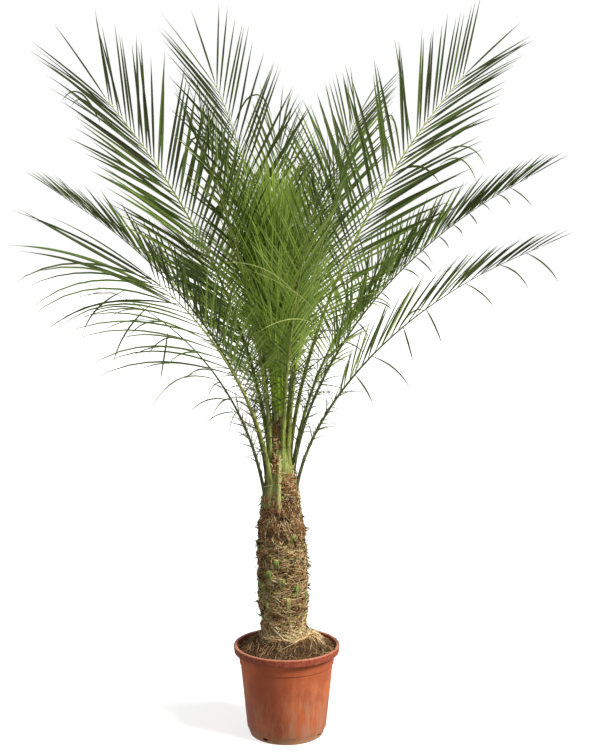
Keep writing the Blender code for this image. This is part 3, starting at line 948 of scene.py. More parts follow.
def scatter_on_soil(count, rng):
    """Random level places on the soil, out to the pot's wall."""
    start = SEAT_RADIUS * 0.75
    wall = flare_radius(SOIL_EDGE) - 0.004
    distance = np.sqrt(rng.uniform(start ** 2, wall ** 2, count))
    return radial(rng.uniform(0.0, math.tau, count)) * distance[:, None]


def keep_inside(paths, gap):
    """Pulls in level places that would come nearer than the gap to the pot's wall."""
    wall = flare_radius(SOIL_EDGE) - gap
    distance = np.hypot(paths[..., 0], paths[..., 1])
    paths[..., :2] *= np.minimum(1.0, wall / distance)[..., None]


def crumb_shape():
    bm = bmesh.new()
    bmesh.ops.create_icosphere(bm, subdivisions=1, radius=1.0)
    points = np.array([vertex.co for vertex in bm.verts])
    faces = [[vertex.index for vertex in face.verts] for face in bm.faces]
    bm.free()
    return points, faces


def make_crumbs(materials):
    """Loose lumps of peat on the bed, and a few on the rim."""
    rng = np.random.default_rng(11)
    places = scatter_on_soil(CRUMB_COUNT, rng)
    places[:, 2] = soil_height(places) + rng.uniform(-0.001, 0.002, CRUMB_COUNT)
    on_rim = radial(rng.normal(RIM_CRUMB_AZIMUTH, RIM_CRUMB_SPREAD, RIM_CRUMB_COUNT))
    on_rim *= rng.normal(RIM_RADIUS - RIM_WALL / 2, 0.0025, RIM_CRUMB_COUNT)[:, None]
    on_rim[:, 2] = POT_HEIGHT + 0.0008
    shape, faces = crumb_shape()
    skin = Skin()
    low, high = CRUMB_SIZES
    for index, place in enumerate(np.concatenate((places, on_rim))):
        small = index >= CRUMB_COUNT
        size = low + (high - low) * rng.random() ** 3 * (RIM_CRUMB_SIZE if small else 1.0)
        turn = np.array(Euler(rng.uniform(0.0, math.tau, 3)).to_matrix())
        dents = rng.uniform(0.7, 1.15, (len(shape), 1))
        lump = (shape * dents * size * rng.uniform(0.6, 1.2, 3)) @ turn.T
        skin.add(lump + place, faces, [int(rng.random() < DARK_CRUMB_SHARE)] * len(faces))
    skin.piece("peat_crumbs", materials[1:3], "peat", crease=25.0)


def make_soil_straw(materials):
    """Straw and fine roots lying on and poking out of the peat."""
    rng = np.random.default_rng(12)
    count = SOIL_STRAW_COUNT
    places = scatter_on_soil(count, rng)
    heading = rng.uniform(0.0, math.tau, count)
    length = rng.uniform(*SOIL_STRAW_LENGTHS, count)
    rise = np.abs(rng.normal(0.0, 0.10, count))
    along = np.linspace(-0.5, 0.5, SOIL_STRAW_ROWS)
    bow = rng.normal(0.0, 0.18, count)[:, None] * length[:, None] * (along * 2.0) ** 2
    paths = places[:, None] + radial(heading)[:, None] * (length[:, None] * along)[..., None]
    paths = paths + radial(heading + math.pi / 2)[:, None] * bow[..., None]
    lift = 0.0012 + length[:, None] * rise[:, None] * (along + 0.5)
    keep_inside(paths, 0.003)
    paths[..., 2] = soil_height(paths) + lift
    radii = needle(SOIL_STRAW_ROWS, rng.uniform(*SOIL_STRAW_RADII, count))
    tones = (rng.random(count) < 0.6).astype(int)
    strand_piece("peat_straw", paths, radii, tones, materials[3:], "peat")


# Trunk

def trunk_share(height):
    return np.clip((height - SEAT_HEIGHT) / (TRUNK_TOP - SEAT_HEIGHT), 0.0, 1.0)


def trunk_axis(height):
    share = (height - SEAT_HEIGHT) / (TRUNK_TOP - SEAT_HEIGHT)
    return over(TRUNK_FOOT_X + (TRUNK_TOP_X - TRUNK_FOOT_X) * share, height)


def boot_places():
    """The azimuth and height of the middle of each old leaf base, set in spirals."""
    number = np.arange(BOOT_COUNT)
    rise = (TRUNK_TOP - SEAT_HEIGHT) / BOOT_COUNT
    return (number * GOLDEN_ANGLE) % math.tau, SEAT_HEIGHT + (number + 0.5) * rise


def boot_relief(angle, height):
    """How far the old leaf bases stand out: each swells upward and ends in a ledge."""
    radius = eased(TRUNK_OUTLINE, trunk_share(height))
    relief = np.zeros_like(height)
    for boot_angle, boot_height in zip(*boot_places()):
        apart = (angle - boot_angle + math.pi) % math.tau - math.pi
        across = np.abs(apart * radius) / (BOOT_WIDTH / 2)
        up = (height - boot_height) / (BOOT_HEIGHT / 2)
        side = np.clip(1.0 - across ** 3, 0.0, 1.0)
        swell = eased(((-1.0, 0.0), (0.65, 1.0), (1.0, 0.0)), up)
        relief = np.maximum(relief, side * swell)
    return relief * BOOT_RELIEF


def trunk_reach(angle, height):
    """The radius of the trunk's skin."""
    return eased(TRUNK_OUTLINE, trunk_share(height)) - TRUNK_SKIN + boot_relief(angle, height)


def fibre_materials():
    stretch = (1.0, 1.0, 5.0)
    return [
        mottled("fibre_dark", (0.036, 0.022, 0.012), 0.9, 120.0, stretch, 0.35),
        mottled("fibre_brown", (0.325, 0.150, 0.055), 0.9, 120.0, stretch, 0.35),
        mottled("fibre_tan", (0.505, 0.350, 0.180), 0.85, 120.0, stretch, 0.30),
        mottled("fibre_straw", (0.800, 0.655, 0.370), 0.80, 120.0, stretch, 0.25),
        mottled("fibre_green", (0.330, 0.350, 0.075), 0.85, 120.0, stretch, 0.35),
    ]


def bark_material():
    """Matted fibre: level streaks of tan over brown, greener where old leaf bases show."""
    paint = Paint("bark_mat", (0.12, 0.08, 0.04), 0.92, 0.2)
    streaks = paint.noise(60.0, (1.0, 1.0, 7.0), 8.0, 0.7)
    cross = paint.noise(150.0, (1.0, 1.0, 2.5), 6.0, 0.7)
    green = paint.band(paint.noise(16.0, detail=3.0), 0.48, 0.62, 0.0, 0.9)
    body = paint.mix(paint.band(streaks, 0.38, 0.66), (0.040, 0.022, 0.010), (0.26, 0.155, 0.065))
    body = paint.mix(paint.product(green, paint.band(cross, 0.4, 0.6)), body, (0.21, 0.23, 0.05))
    paint.set("Base Color", body)
    paint.set_bump(streaks, 0.003)
    return paint.material


def make_bark():
    """The trunk's own skin, with its leaf bases and matted fibre in relief."""
    heights = np.linspace(SEAT_HEIGHT - 0.012, TRUNK_TOP, TRUNK_ROWS)
    height, angle = np.meshgrid(heights, full_turn(TRUNK_STEPS), indexing="ij")
    grain = radial(angle) * 0.075 + UP * (height * 4.0)[..., None]
    points = trunk_point(angle, height, lumps(grain, BARK_LUMPS))
    grid_piece("trunk_bark", points, [bark_material()], "trunk_fibre", "trunk", 80.0)


def trunk_point(angle, height, lift):
    """Points on the trunk, lifted off its skin."""
    return out_from(trunk_axis(height), angle, trunk_reach(angle, height) + lift)


def wrapping_strands(rng, count, low, high, tilt, length, curl, lift):
    """Paths of strands that lie round the trunk, within these heights and lengths."""
    start = rng.uniform(0.0, math.tau, count)
    level = rng.uniform(low, high, count)
    lean = rng.normal(0.0, tilt, count)
    reach = rng.uniform(*length, count)
    along = np.linspace(-0.5, 0.5, FIBRE_ROWS)
    run = reach[:, None] * along
    radius = eased(TRUNK_OUTLINE, trunk_share(level))[:, None]
    phase = rng.uniform(0.0, math.tau, (2, count, 1))
    wave = np.sin(along * rng.uniform(4.0, 12.0, (count, 1)) + phase[0]) * curl
    angle = start[:, None] + run * np.cos(lean)[:, None] / radius
    height = level[:, None] + run * np.sin(lean)[:, None] + wave
    height = np.clip(height, SEAT_HEIGHT, TRUNK_TOP)
    raised = rng.uniform(0.0, lift, (count, 1))
    raised = raised + 0.0015 * np.sin(along * 9.0 + phase[1])
    return trunk_point(angle, height, raised)


def make_trunk_fibres(materials):
    """The mat of old sheath fibre wound round the trunk, layer by layer."""
    rng = np.random.default_rng(21)
    skins = {name: Skin() for name, *_ in FIBRE_LAYERS}
    for name, count, *way, shares in FIBRE_LAYERS:
        paths = wrapping_strands(rng, count, *way)
        radii = needle(FIBRE_ROWS, rng.uniform(*FIBRE_RADII, count))
        tones = dealt(rng, shares, count)
        skins[name].add_grids(tubes(paths, radii), tones, closed=True, capped=True)
    for name, skin in skins.items():
        skin.piece(name, materials, "trunk_fibre")


def make_trunk_hairs(materials):
    """Broken fibre ends that stand out from the trunk, and thicker dark scraps of old bases."""
    rng = np.random.default_rng(22)
    count = HAIR_COUNT + SCRAP_COUNT
    scrap = np.arange(count) >= HAIR_COUNT
    angle = rng.uniform(0.0, math.tau, count)
    height = SEAT_HEIGHT + 0.01 + (TRUNK_TOP - SEAT_HEIGHT - 0.015) * rng.random(count) ** 0.8
    length = pick(rng, scrap, SCRAP_LENGTHS, HAIR_LENGTHS)
    along = np.linspace(0.0, 1.0, HAIR_ROWS)
    heading = unit(radial(angle) + 0.7 * rng.normal(0.0, 1.0, (count, 3)) + UP * 0.15)
    outward = np.sum(heading * radial(angle), axis=-1, keepdims=True)
    heading = unit(heading + radial(angle) * np.maximum(0.0, 0.35 - outward))
    root = trunk_point(angle, height, np.full(count, 0.001))
    sag = rng.uniform(-0.3, 0.6, count)
    paths = root[:, None] + heading[:, None] * (length[:, None] * along)[..., None]
    paths[..., 2] -= (length * sag)[:, None] * along ** 2
    radii = pick(rng, scrap, SCRAP_RADII, HAIR_RADII)[:, None] * (1.0 - 0.7 * along)
    tones = np.where(scrap, FIBRE_DARK, dealt(rng, HAIR_TONES, count))
    strand_piece("trunk_hairs", paths, radii, tones, materials, sides=4)


def make_root_skirt(materials):
    """Straw-coloured roots round the trunk's foot that run out over the soil, most to the right."""
    rng = np.random.default_rng(23)
    count = ROOT_COUNT
    right = rng.random(count) < LONG_ROOT_SHARE
    angle = np.where(right, rng.normal(LONG_ROOT_AZIMUTH, LONG_ROOT_SPREAD, count),
                     rng.uniform(0.0, math.tau, count))
    foot = SEAT_HEIGHT + (0.002 + 0.016 * rng.random(count) ** 1.5)
    reach = pick(rng, right, LONG_ROOT_REACHES, ROOT_REACHES)
    swirl = rng.normal(0.0, 1.0, count) * np.where(right, LONG_ROOT_SWIRL, ROOT_SWIRL)
    along = np.linspace(0.0, 1.0, ROOT_ROWS)
    turn = angle[:, None] + swirl[:, None] * along
    trunk = trunk_reach(angle, foot)
    distance = trunk[:, None] + reach[:, None] * along
    paths = out_from(trunk_axis(foot)[:, None], turn, distance)
    keep_inside(paths, 0.004)
    fall = np.minimum(1.0, distance - trunk[:, None] + along * 0.3) / 0.02
    fall = eased(((0.0, 0.0), (1.0, 1.0)), fall)
    ground = soil_height(paths) + rng.uniform(0.0005, 0.007, (count, 1))
    paths[..., 2] = foot[:, None] * (1.0 - fall) + ground * fall
    radii = needle(ROOT_ROWS, rng.uniform(*ROOT_RADII, count))
    strand_piece("root_skirt", paths, radii, dealt(rng, ROOT_TONES, count), materials)


# Leaf bases

def base_materials():
    grain = (1.0, 1.0, 0.12)
    return [
        mottled("base_green", (0.190, 0.260, 0.055), 0.6, 150.0, grain, 0.50, 0.0006),
        mottled("base_cut", (0.410, 0.390, 0.140), 0.75, 300.0, (1.0, 1.0, 1.0), 0.25, 0.0008),
        mottled("base_brown", (0.210, 0.115, 0.048), 0.85, 200.0, grain, 0.45, 0.0010),
        mottled("base_tan", (0.420, 0.330, 0.130), 0.80, 220.0, grain, 0.40, 0.0008),
        mottled("base_olive", (0.260, 0.275, 0.080), 0.6, 150.0, grain, 0.50, 0.0006),
    ]


def stub_rings(rng, boot_angle, boot_height):
    """The rows of points of one stub: a flat wedge that leans out, with a slanted cut on top."""
    half = rng.uniform(*STUB_HALF_WIDTHS)
    tall = rng.uniform(*STUB_HEIGHTS)
    out = rng.uniform(*STUB_REACHES)
    lean = rng.normal(0.0, 0.10)
    foot = boot_height - tall * 0.55
    top = min(boot_height + tall * 0.45, TRUNK_TOP + 0.01)
    steps = np.linspace(0.0, 1.0, STUB_ROWS)
    height = foot + (top - foot) * steps
    middle = trunk_point(np.full(STUB_ROWS, boot_angle), height, np.zeros(STUB_ROWS))
    lift = np.linspace(-0.003, out - 0.002, STUB_ROWS)
    outward = radial(np.array(boot_angle))
    level = radial(np.array(boot_angle + math.pi / 2))
    sideways, depth = np.array(STUB_CORNERS).T[..., None]
    rings = []
    for place, raised, step in zip(middle, lift, steps):
        wide = half * (1.25 - 0.30 * step)
        thick = 0.003 + 0.0035 * step
        center = place + outward * raised + level * lean * (step - 0.5) * tall
        ragged = rng.normal(0.0, 0.0006, sideways.shape) * level
        ring = level * sideways * wide + outward * depth * thick + ragged
        slant = UP * (-0.35 * depth * thick + rng.normal(0.0, 0.0008, depth.shape))
        rings.append(center + ring + slant * (step > 0.9))
    return np.array(rings)


def make_stubs(materials):
    """Cut leaf bases that rise out of the fibre, some with a pale cut."""
    rng = np.random.default_rng(31)
    corners = len(STUB_CORNERS)
    faces = web(1, STUB_ROWS, corners, closed=True) + end_caps(1, STUB_ROWS, corners)
    skin = Skin()
    for boot_angle, boot_height in zip(*boot_places()):
        if rng.random() < BARE_BOOT_SHARE:
            continue
        points = stub_rings(rng, boot_angle, boot_height)
        tone = int(dealt(rng, STUB_TONES))
        cut = BASE_CUT if rng.random() < PALE_CUT_SHARE else tone
        skin.add(points, faces, [tone] * (len(faces) - 1) + [cut])
    skin.piece("cut_leaf_bases", materials, "leaf_bases", crease=30.0)


def heart_radius(height):
    share = (height - TRUNK_TOP) / (HEART_TOP - TRUNK_TOP)
    return HEART_FOOT_RADIUS + (HEART_TOP_RADIUS - HEART_FOOT_RADIUS) * share


def core_radius(height):
    """The radius of what the sheaths wrap: the trunk below, and above it the heart."""
    trunk = eased(TRUNK_OUTLINE, trunk_share(height))
    return np.where(height < TRUNK_TOP, trunk, np.maximum(heart_radius(height), HEART_TOP_RADIUS))


def make_heart(materials):
    """The core that the sheaths wrap: a ribbed, fibrous cone."""
    heights = np.linspace(TRUNK_TOP - 0.010, HEART_TOP, HEART_ROWS)
    height, angle = np.meshgrid(heights, full_turn(HEART_STEPS), indexing="ij")
    ribs = 0.0015 * np.cos(angle * 17.0 + height * 20.0)
    rough = lumps(radial(angle) * 0.05 + UP * height[..., None], HEART_LUMPS)
    reach = heart_radius(height) - 0.002 + ribs + rough
    points = out_from(over(TRUNK_TOP_X, height), angle, reach)
    grid_piece("heart_core", points, materials, "leaf_bases", "heart", 70.0, BASE_OLIVE)


def sheath_grid(azimuth, heights, half, outer, thick, rng):
    """A strip wrapped on the heart, thick along its middle: a grid of one closed section a row."""
    across = np.linspace(-1.0, 1.0, SHEATH_ACROSS)
    core = core_radius(heights)
    body = thick[:, None] * (1.0 - across ** 2)[None] + 0.0012
    ragged = rng.normal(0.0, 0.0014, (SHEATH_ROWS, SHEATH_ACROSS)) * np.abs(across) ** 3
    turn = azimuth + (half[:, None] * across + ragged) / core[:, None]
    middle = over(TRUNK_TOP_X, heights[:, None])
    inner = core[:, None] + outer
    inside = out_from(middle, turn, inner)
    outside = out_from(middle, turn, inner + body)
    return np.concatenate((outside, inside[:, ::-1]), axis=1)[None]


def leaf_sheaths(skin, leaves, up, rng):
    """The clasping foot of each leaf, brown with fibre only where the crown's foot is brown."""
    brown_from, brown_to = BROWN_AZIMUTHS
    for order, leaf in enumerate(leaves):
        root = leaf.points[0].z
        foot = max(root - SHEATH_DROP, LOWEST_SHEATH)
        heights = foot + (root + SHEATH_RISE - foot) * up
        half = SHEATH_FLARE * (1.0 - up) ** 1.1 + STALK_HALF_WIDTH
        outer = SHEATH_STACK * (len(leaves) - order) / len(leaves)
        grid = sheath_grid(leaf.azimuth, heights, half, outer, 0.0030 + 0.0060 * up, rng)
        first = len(skin.tones)
        skin.add_grids(grid, [BASE_GREEN], closed=True, capped=True)
        body = dealt(rng, SHEATH_TONES)
        green = (leaf.azimuth - brown_from) % math.tau > brown_to - brown_from
        paint_sheath(skin, first, body, 0.0 if green else rng.uniform(*BROWN_SHARES), rng)


def old_sheaths(skin, up, rng):
    """The feet of older leaves; the straw-coloured one lies outermost."""
    for azimuth, foot, top, wide, tone in OLD_BASES:
        heights = foot + (top - foot) * up
        half = wide * (1.25 - 0.5 * up)
        outer = STRAW_BASE_LIFT if tone == BASE_CUT else OLD_BASE_LIFT
        grid = sheath_grid(math.radians(azimuth), heights, half, outer, 0.004 + 0.003 * up, rng)
        first = len(skin.tones)
        skin.add_grids(grid, [tone], closed=True, capped=True)
        paint_sheath(skin, first, tone, 0.1, rng)


def make_sheaths(leaves, materials):
    """The clasping feet of the leaves, wide below and narrow above, with older ones between."""
    rng = np.random.default_rng(32)
    skin = Skin()
    up = np.linspace(0.0, 1.0, SHEATH_ROWS)
    leaf_sheaths(skin, leaves, up, rng)
    old_sheaths(skin, up, rng)
    skin.piece("leaf_sheaths", materials, "leaf_bases", crease=60.0)


def paint_sheath(skin, first, body, split, rng):
    """Deals a sheath's faces: brown fibre up to the split, then its own tone with pale edges."""
    around = 2 * SHEATH_ACROSS
    for number in range((SHEATH_ROWS - 1) * around):
        row, column = divmod(number, around)
        edge = abs(column - SHEATH_ACROSS / 2) / (SHEATH_ACROSS / 2)
        tone = body
        if row < split * SHEATH_ROWS + rng.normal(0.0, 1.0):
            tone = BASE_TAN if rng.random() < 0.18 else BASE_BROWN
        elif 0.55 < edge < 0.80:
            tone = BASE_CUT
        skin.tones[first + number] = int(tone)


def crown_fibre_feet(rng, column, torn):
    """The azimuth and height at which each thread starts."""
    count = len(column)
    angles = (rng.normal(COLUMN_AZIMUTH, COLUMN_SPREAD, count),
              rng.normal(TORN_AZIMUTH, TORN_SPREAD, count))
    angle = np.select((column, torn), angles, rng.uniform(*BROWN_AZIMUTHS, count))
    rises = (rng.uniform(*COLUMN_RISES, count), rng.uniform(*TORN_RISES, count))
    rise = np.select((column, torn), rises, 0.10 * rng.random(count) ** 1.5 - 0.02)
    return angle, TRUNK_TOP + rise


def make_crown_fibres(materials):
    """Curly brown threads of the torn sheaths: round the crown's foot, in a column up between the
    stalks, and in a thick tuft below at one side."""
    rng = np.random.default_rng(33)
    count = RING_FIBRES + COLUMN_FIBRES + TORN_FIBRES
    number = np.arange(count)
    ring = number < RING_FIBRES
    torn = number >= RING_FIBRES + COLUMN_FIBRES
    column = ~(ring | torn)
    angle, height = crown_fibre_feet(rng, column, torn)
    length = pick(rng, ring, RING_FIBRE_LENGTHS, SHORT_FIBRE_LENGTHS)
    along = np.linspace(0.0, 1.0, CROWN_FIBRE_ROWS)
    rise = rng.uniform(0.1, 1.0, count)
    phase = rng.uniform(0.0, math.tau, (count, 1))
    curls = rng.uniform(*CROWN_FIBRE_CURLS, (count, 1))
    level = height[:, None] + (length * rise)[:, None] * along + 0.004 * np.sin(curls * along)
    around = length * np.sqrt(1.0 - rise ** 2 * 0.9) * rng.choice((-1.0, 1.0), count)
    around = around * np.where(column, COLUMN_WRAP, 1.0)
    base = core_radius(level)
    turn = angle[:, None] + around[:, None] * along / base
    turn = turn + 0.12 * np.sin(curls * 1.3 * along + phase)
    lift = rng.uniform(*CROWN_FIBRE_LIFTS, (count, 1))
    lift = lift + 0.004 * np.sin(curls * along + phase * 2.0) + (COLUMN_LIFT * column)[:, None]
    paths = out_from(over(TRUNK_TOP_X, level), turn, base + lift)
    radii = needle(CROWN_FIBRE_ROWS, rng.uniform(*CROWN_FIBRE_RADII, count))
    tones = dealt(rng, CROWN_FIBRE_TONES, count)
    strand_piece("crown_fibres", paths, radii, tones, materials)


# Leaves

class Leaf:
    """A leaf's rib as a curve, as in the CAD model, with the way its leaflets are dressed."""

    def __init__(self, order, row):
        self.name, *angles, self.bend, self.length, self.width, past = row
        angles = [math.radians(angle) for angle in angles]
        self.azimuth, self.swing, self.roll, self.fold, self.root_lean, self.tip_lean = angles
        self.past = past
        self.end = 1.0 + past / self.length
        height = FIRST_ROOT + ROOT_RISE * order
        reach = heart_radius(height) + STALK_HALF_WIDTH / 2 - ROOT_SINK
        outward = Vector((math.cos(self.azimuth), math.sin(self.azimuth), 0.0))
        self.points = [Vector((TRUNK_TOP_X, 0.0, height)) + outward * reach]
        step = self.end / CURVE_STEPS
        for index in range(CURVE_STEPS):
            along = self.tangent((index + 0.5) * step)
            self.points.append(self.points[-1] + along * step * self.length)
        habit = HABITS[self.name]
        self.pairs, self.leaflet_width, self.leaflet_length, angle, *habit = habit
        self.fold += EXTRA_FOLDS.get(self.name, 0.0)
        self.angle = math.radians(angle)
        self.droop, self.loose, self.tone = habit
        low = self.name.endswith(("low", "mid"))
        self.flutter = LOW_FLUTTER if low else CALM_FLUTTER
        self.stir = INNER_STIR if self.name.endswith("inner") else CALM_STIR
        self.short_side, self.shortening = SHORT_SIDES.get(self.name, (0.0, 1.0))
        self.bare_side, self.bare_below = BARE_SIDES.get(self.name, (0.0, 0.0))

    def tangent(self, share):
        lean = self.root_lean + (self.tip_lean - self.root_lean) * share ** self.bend
        azimuth = self.azimuth + self.swing * share
        flat = math.sin(lean)
        return Vector((flat * math.cos(azimuth), flat * math.sin(azimuth), math.cos(lean)))

    def upper_side(self, share):
        """The direction that the leaf's upper face looks in, square to the rib."""
        azimuth = self.azimuth + self.swing * share
        level = Vector((-math.sin(azimuth), math.cos(azimuth), 0.0))
        tangent = self.tangent(share)
        twist = Quaternion(tangent, self.roll * min(1.0, share / ROLL_SHARE))
        return twist @ tangent.cross(level).normalized()

    def place(self, share):
        along = share / self.end * CURVE_STEPS
        index = min(int(along), CURVE_STEPS - 1)
        return self.points[index].lerp(self.points[index + 1], along - index)

    def half_width(self, share):
        """Half the width of the rib: a stout stalk that thins out fast."""
        return RIB_TIP_HALF_WIDTH + (STALK_HALF_WIDTH - 0.0004) * (1.0 - share) ** RIB_TAPER

    def frame_at(self, share):
        """Place, direction, upper side and level side, as arrays."""
        tangent = self.tangent(share)
        upper = self.upper_side(share)
        level = tangent.cross(upper).normalized()
        return [np.array(vector) for vector in (self.place(share), tangent, upper, level)]


def stalk_materials():
    along = (1.0, 1.0, 0.15)
    return [
        mottled("stalk_green", (0.175, 0.240, 0.048), 0.45, 160.0, along, 0.45),
        mottled("stalk_edge", (0.390, 0.420, 0.130), 0.45, 120.0, along, 0.22),
        mottled("stalk_olive", (0.240, 0.275, 0.062), 0.45, 160.0, along, 0.45),
        mottled("stalk_dark", (0.080, 0.105, 0.038), 0.45, 160.0, along, 0.40),
        mottled("stalk_spine", (0.130, 0.140, 0.065), 0.5, 120.0, along, 0.20),
    ]


def stalk_tone(leaf):
    if leaf.name in DARK_STALKS:
        return STALK_DARK
    return STALK_OLIVE if leaf.name in OLIVE_STALKS else STALK_GREEN


def make_rib(leaf, materials):
    """A stalk that is round below and flatter on top, running on as the blade's rib."""
    turn = full_turn(RIB_SIDES)
    wide = np.cos(turn)
    tall = np.sin(turn)
    tall = tall * np.where(tall > 0.0, 0.45, 0.95)
    rings = []
    for share in np.linspace(0.0, 0.995, RIB_ROWS):
        place, _, upper, level = leaf.frame_at(share)
        half = leaf.half_width(share)
        rings.append(place + (wide[:, None] * level + tall[:, None] * upper) * half)
    body = stalk_tone(leaf)
    skin = Skin()
    skin.add_grids(np.array(rings)[None], [body], closed=True, capped=True)
    for number in range((RIB_ROWS - 1) * RIB_SIDES):
        if body != STALK_DARK and number % RIB_SIDES in RIB_EDGES:
            skin.tones[number] = STALK_EDGE
    skin.piece("rib_" + leaf.name, materials, "stalk_green", ["stalk_" + leaf.name], crease=60.0)


def rib_spread(along):
    """Leaflets sit closer together low on the rib than near its tip."""
    return (1.0 - SPREAD_BEND) * along + SPREAD_BEND * along ** 2


def leaflet_materials():
    """The leaflets' tones, each streaked finely with lighter and darker green."""
    return [leafy(name, color, 60.0, (1.0, 1.0, 0.4), 0.14) for name, color in LEAFLET_TONES]


def leaflet_direction(leaf, rng, side, angle, axes):
    """The way a leaflet points and the way its face looks, twisted a little from its row."""
    tangent, upper, level = axes
    fold = leaf.fold + rng.normal(0.0, FOLD_STIR)
    sideways = level * side * math.cos(fold) + upper * math.sin(fold)
    face = upper * math.cos(fold) - level * side * math.sin(fold)
    heading = sideways * math.sin(angle) + tangent * math.cos(angle)
    twist = side * (LEAFLET_TWIST + rng.normal(0.0, leaf.flutter))
    face = face * math.cos(twist) + np.cross(heading, face) * math.sin(twist)
    return heading, face


def leaflet_size(leaf, rng, side, along):
    """A leaflet's length, width and droop; a loose one is smaller and hangs."""
    end_length = leaf.past / math.cos(leaf.angle * LEAFLET_ANGLES[-1][1])
    length = leaf.leaflet_length + (end_length - leaf.leaflet_length) * along ** 3
    length *= float(eased(LEAFLET_LENGTHS, along)) * rng.uniform(*LENGTH_FACTORS)
    width = leaf.leaflet_width * float(eased(LEAFLET_WIDTHS, along)) * rng.uniform(*WIDTH_FACTORS)
    droop = leaf.droop * rng.uniform(*DROOP_FACTORS) * (1.3 - 0.8 * along)
    if side == leaf.short_side:
        length *= leaf.shortening
        width *= SHORT_WIDTH
    if rng.random() < leaf.loose:
        droop = LOOSE_DROOP * rng.uniform(*LOOSE_DROOP_FACTORS)
        length *= rng.uniform(*LOOSE_LENGTH_FACTORS)
        width *= LOOSE_WIDTH
    return length, width, droop


def leaflet_row(leaf, rng, side, along, angle):
    """One leaflet: its root, heading, face, length, width, droop and tone."""
    share = STALK_SHARE + (1.0 - STALK_SHARE) * rib_spread(along)
    place, *axes = leaf.frame_at(share)
    _, upper, level = axes
    heading, face = leaflet_direction(leaf, rng, side, angle, axes)
    length, width, droop = leaflet_size(leaf, rng, side, along)
    # Painted light and shade: leaflets are dealt lighter tones near the crown, darker towards the tip
    tone = leaf.tone + TONE_FADE * (0.5 - along) + rng.normal(0.0, TONE_SPREAD)
    tone = int(np.clip(round(tone), 0, PALE_TONE - 1))
    half = leaf.half_width(share)
    root = place + level * side * half * 0.7 + upper * half * 0.1
    return root, heading, face, length, width, droop, tone


def leaflet_rows(leaf, rng):
    """One row for each leaflet, the last of them straight out of the rib's tip."""
    rows = []
    for side in (1.0, -1.0):
        for number in range(leaf.pairs):
            pulled = number + 0.5 + CLUSTER_PULL * (0.5 - number % 2)
            along = (pulled + rng.normal(0.0, PLACE_STIR)) / leaf.pairs
            along = min(1.0, max(0.0, along))
            if side == leaf.bare_side and along < leaf.bare_below:
                continue
            angle = leaf.angle * float(eased(LEAFLET_ANGLES, along))
            angle += rng.normal(0.0, leaf.stir)
            rows.append(leaflet_row(leaf, rng, side, along, angle))
    rows.append(leaflet_row(leaf, rng, 1.0, 1.0, END_ANGLE))
    return rows


def folded(paths, along, face, width, stations):
    """Blades three points across, with their edges raised on either side of their paths."""
    across = unit(np.cross(along, face[:, None]))
    half = width[:, None] / 2 * eased(LEAFLET_OUTLINE, stations)
    flat = across * (half * math.cos(LEAFLET_FOLD))[..., None]
    raised = np.cross(across, along) * (half * math.sin(LEAFLET_FOLD))[..., None]
    return np.stack((paths + flat + raised, paths, paths - flat + raised), axis=2)


def leaflet_sheets(rows):
    """Blades folded along their middle that taper to a needle point, three points across."""
    root, heading, face, length, width, droop, tone = (np.array(column) for column in zip(*rows))
    stations = LEAFLET_STATIONS
    bent = heading[:, None] - UP * (droop[:, None] * stations ** DROOP_POWER)[..., None]
    bent = unit(bent)
    step = length[:, None] * np.diff(stations)
    middle = (bent[:, 1:] + bent[:, :-1]) / 2 * step[..., None]
    path = np.concatenate((np.zeros((len(rows), 1, 3)), np.cumsum(middle, axis=1)), axis=1)
    path = path + root[:, None]
    return folded(path, bent, face, width, stations), tone


def leaflet_piece(name, rows, materials, nodes=()):
    """Leaflets joined into one piece; those that stand for a CAD blade have pale feet."""
    sheets, tones = leaflet_sheets(rows)
    skin = Skin()
    skin.add_grids(sheets, tones, closed=False)
    if nodes:
        feet = np.arange(len(skin.faces)) % ((len(LEAFLET_STATIONS) - 1) * 2) < 2
        skin.tones = np.where(feet, PALE_TONE, skin.tones).tolist()
    skin.piece(name, materials, "leaflet_green", nodes, crease=40.0)


def make_leaflets(leaf, materials):
    rng = np.random.default_rng(100 + sum(map(ord, leaf.name)))
    rows = leaflet_rows(leaf, rng)
    leaflet_piece("leaflets_" + leaf.name, rows, materials, ["blade_" + leaf.name])


def offshoot(leaf, rng, share, angles, folds):
    """Where something grows from the stalk, the stalk's level side, and the ways out and along."""
    place, tangent, upper, level = leaf.frame_at(share)
    side = rng.choice((-1.0, 1.0))
    angle = math.radians(rng.uniform(*angles))
    fold = math.radians(rng.uniform(*folds))
    out = level * side * math.cos(fold) + upper * math.sin(fold)
    return place, level, out, out * math.sin(angle) + tangent * math.cos(angle)


def spine_path(leaf, rng, share, angles, lengths, sag):
    place, _, out, heading = offshoot(leaf, rng, share, angles, SPINE_FOLDS)
    along = np.linspace(0.0, 1.0, SPINE_ROWS)
    length = rng.uniform(*lengths)
    path = place + out * leaf.half_width(share) * 0.7 + heading * (length * along)[:, None]
    path[:, 2] -= sag * length * along ** 2
    return path


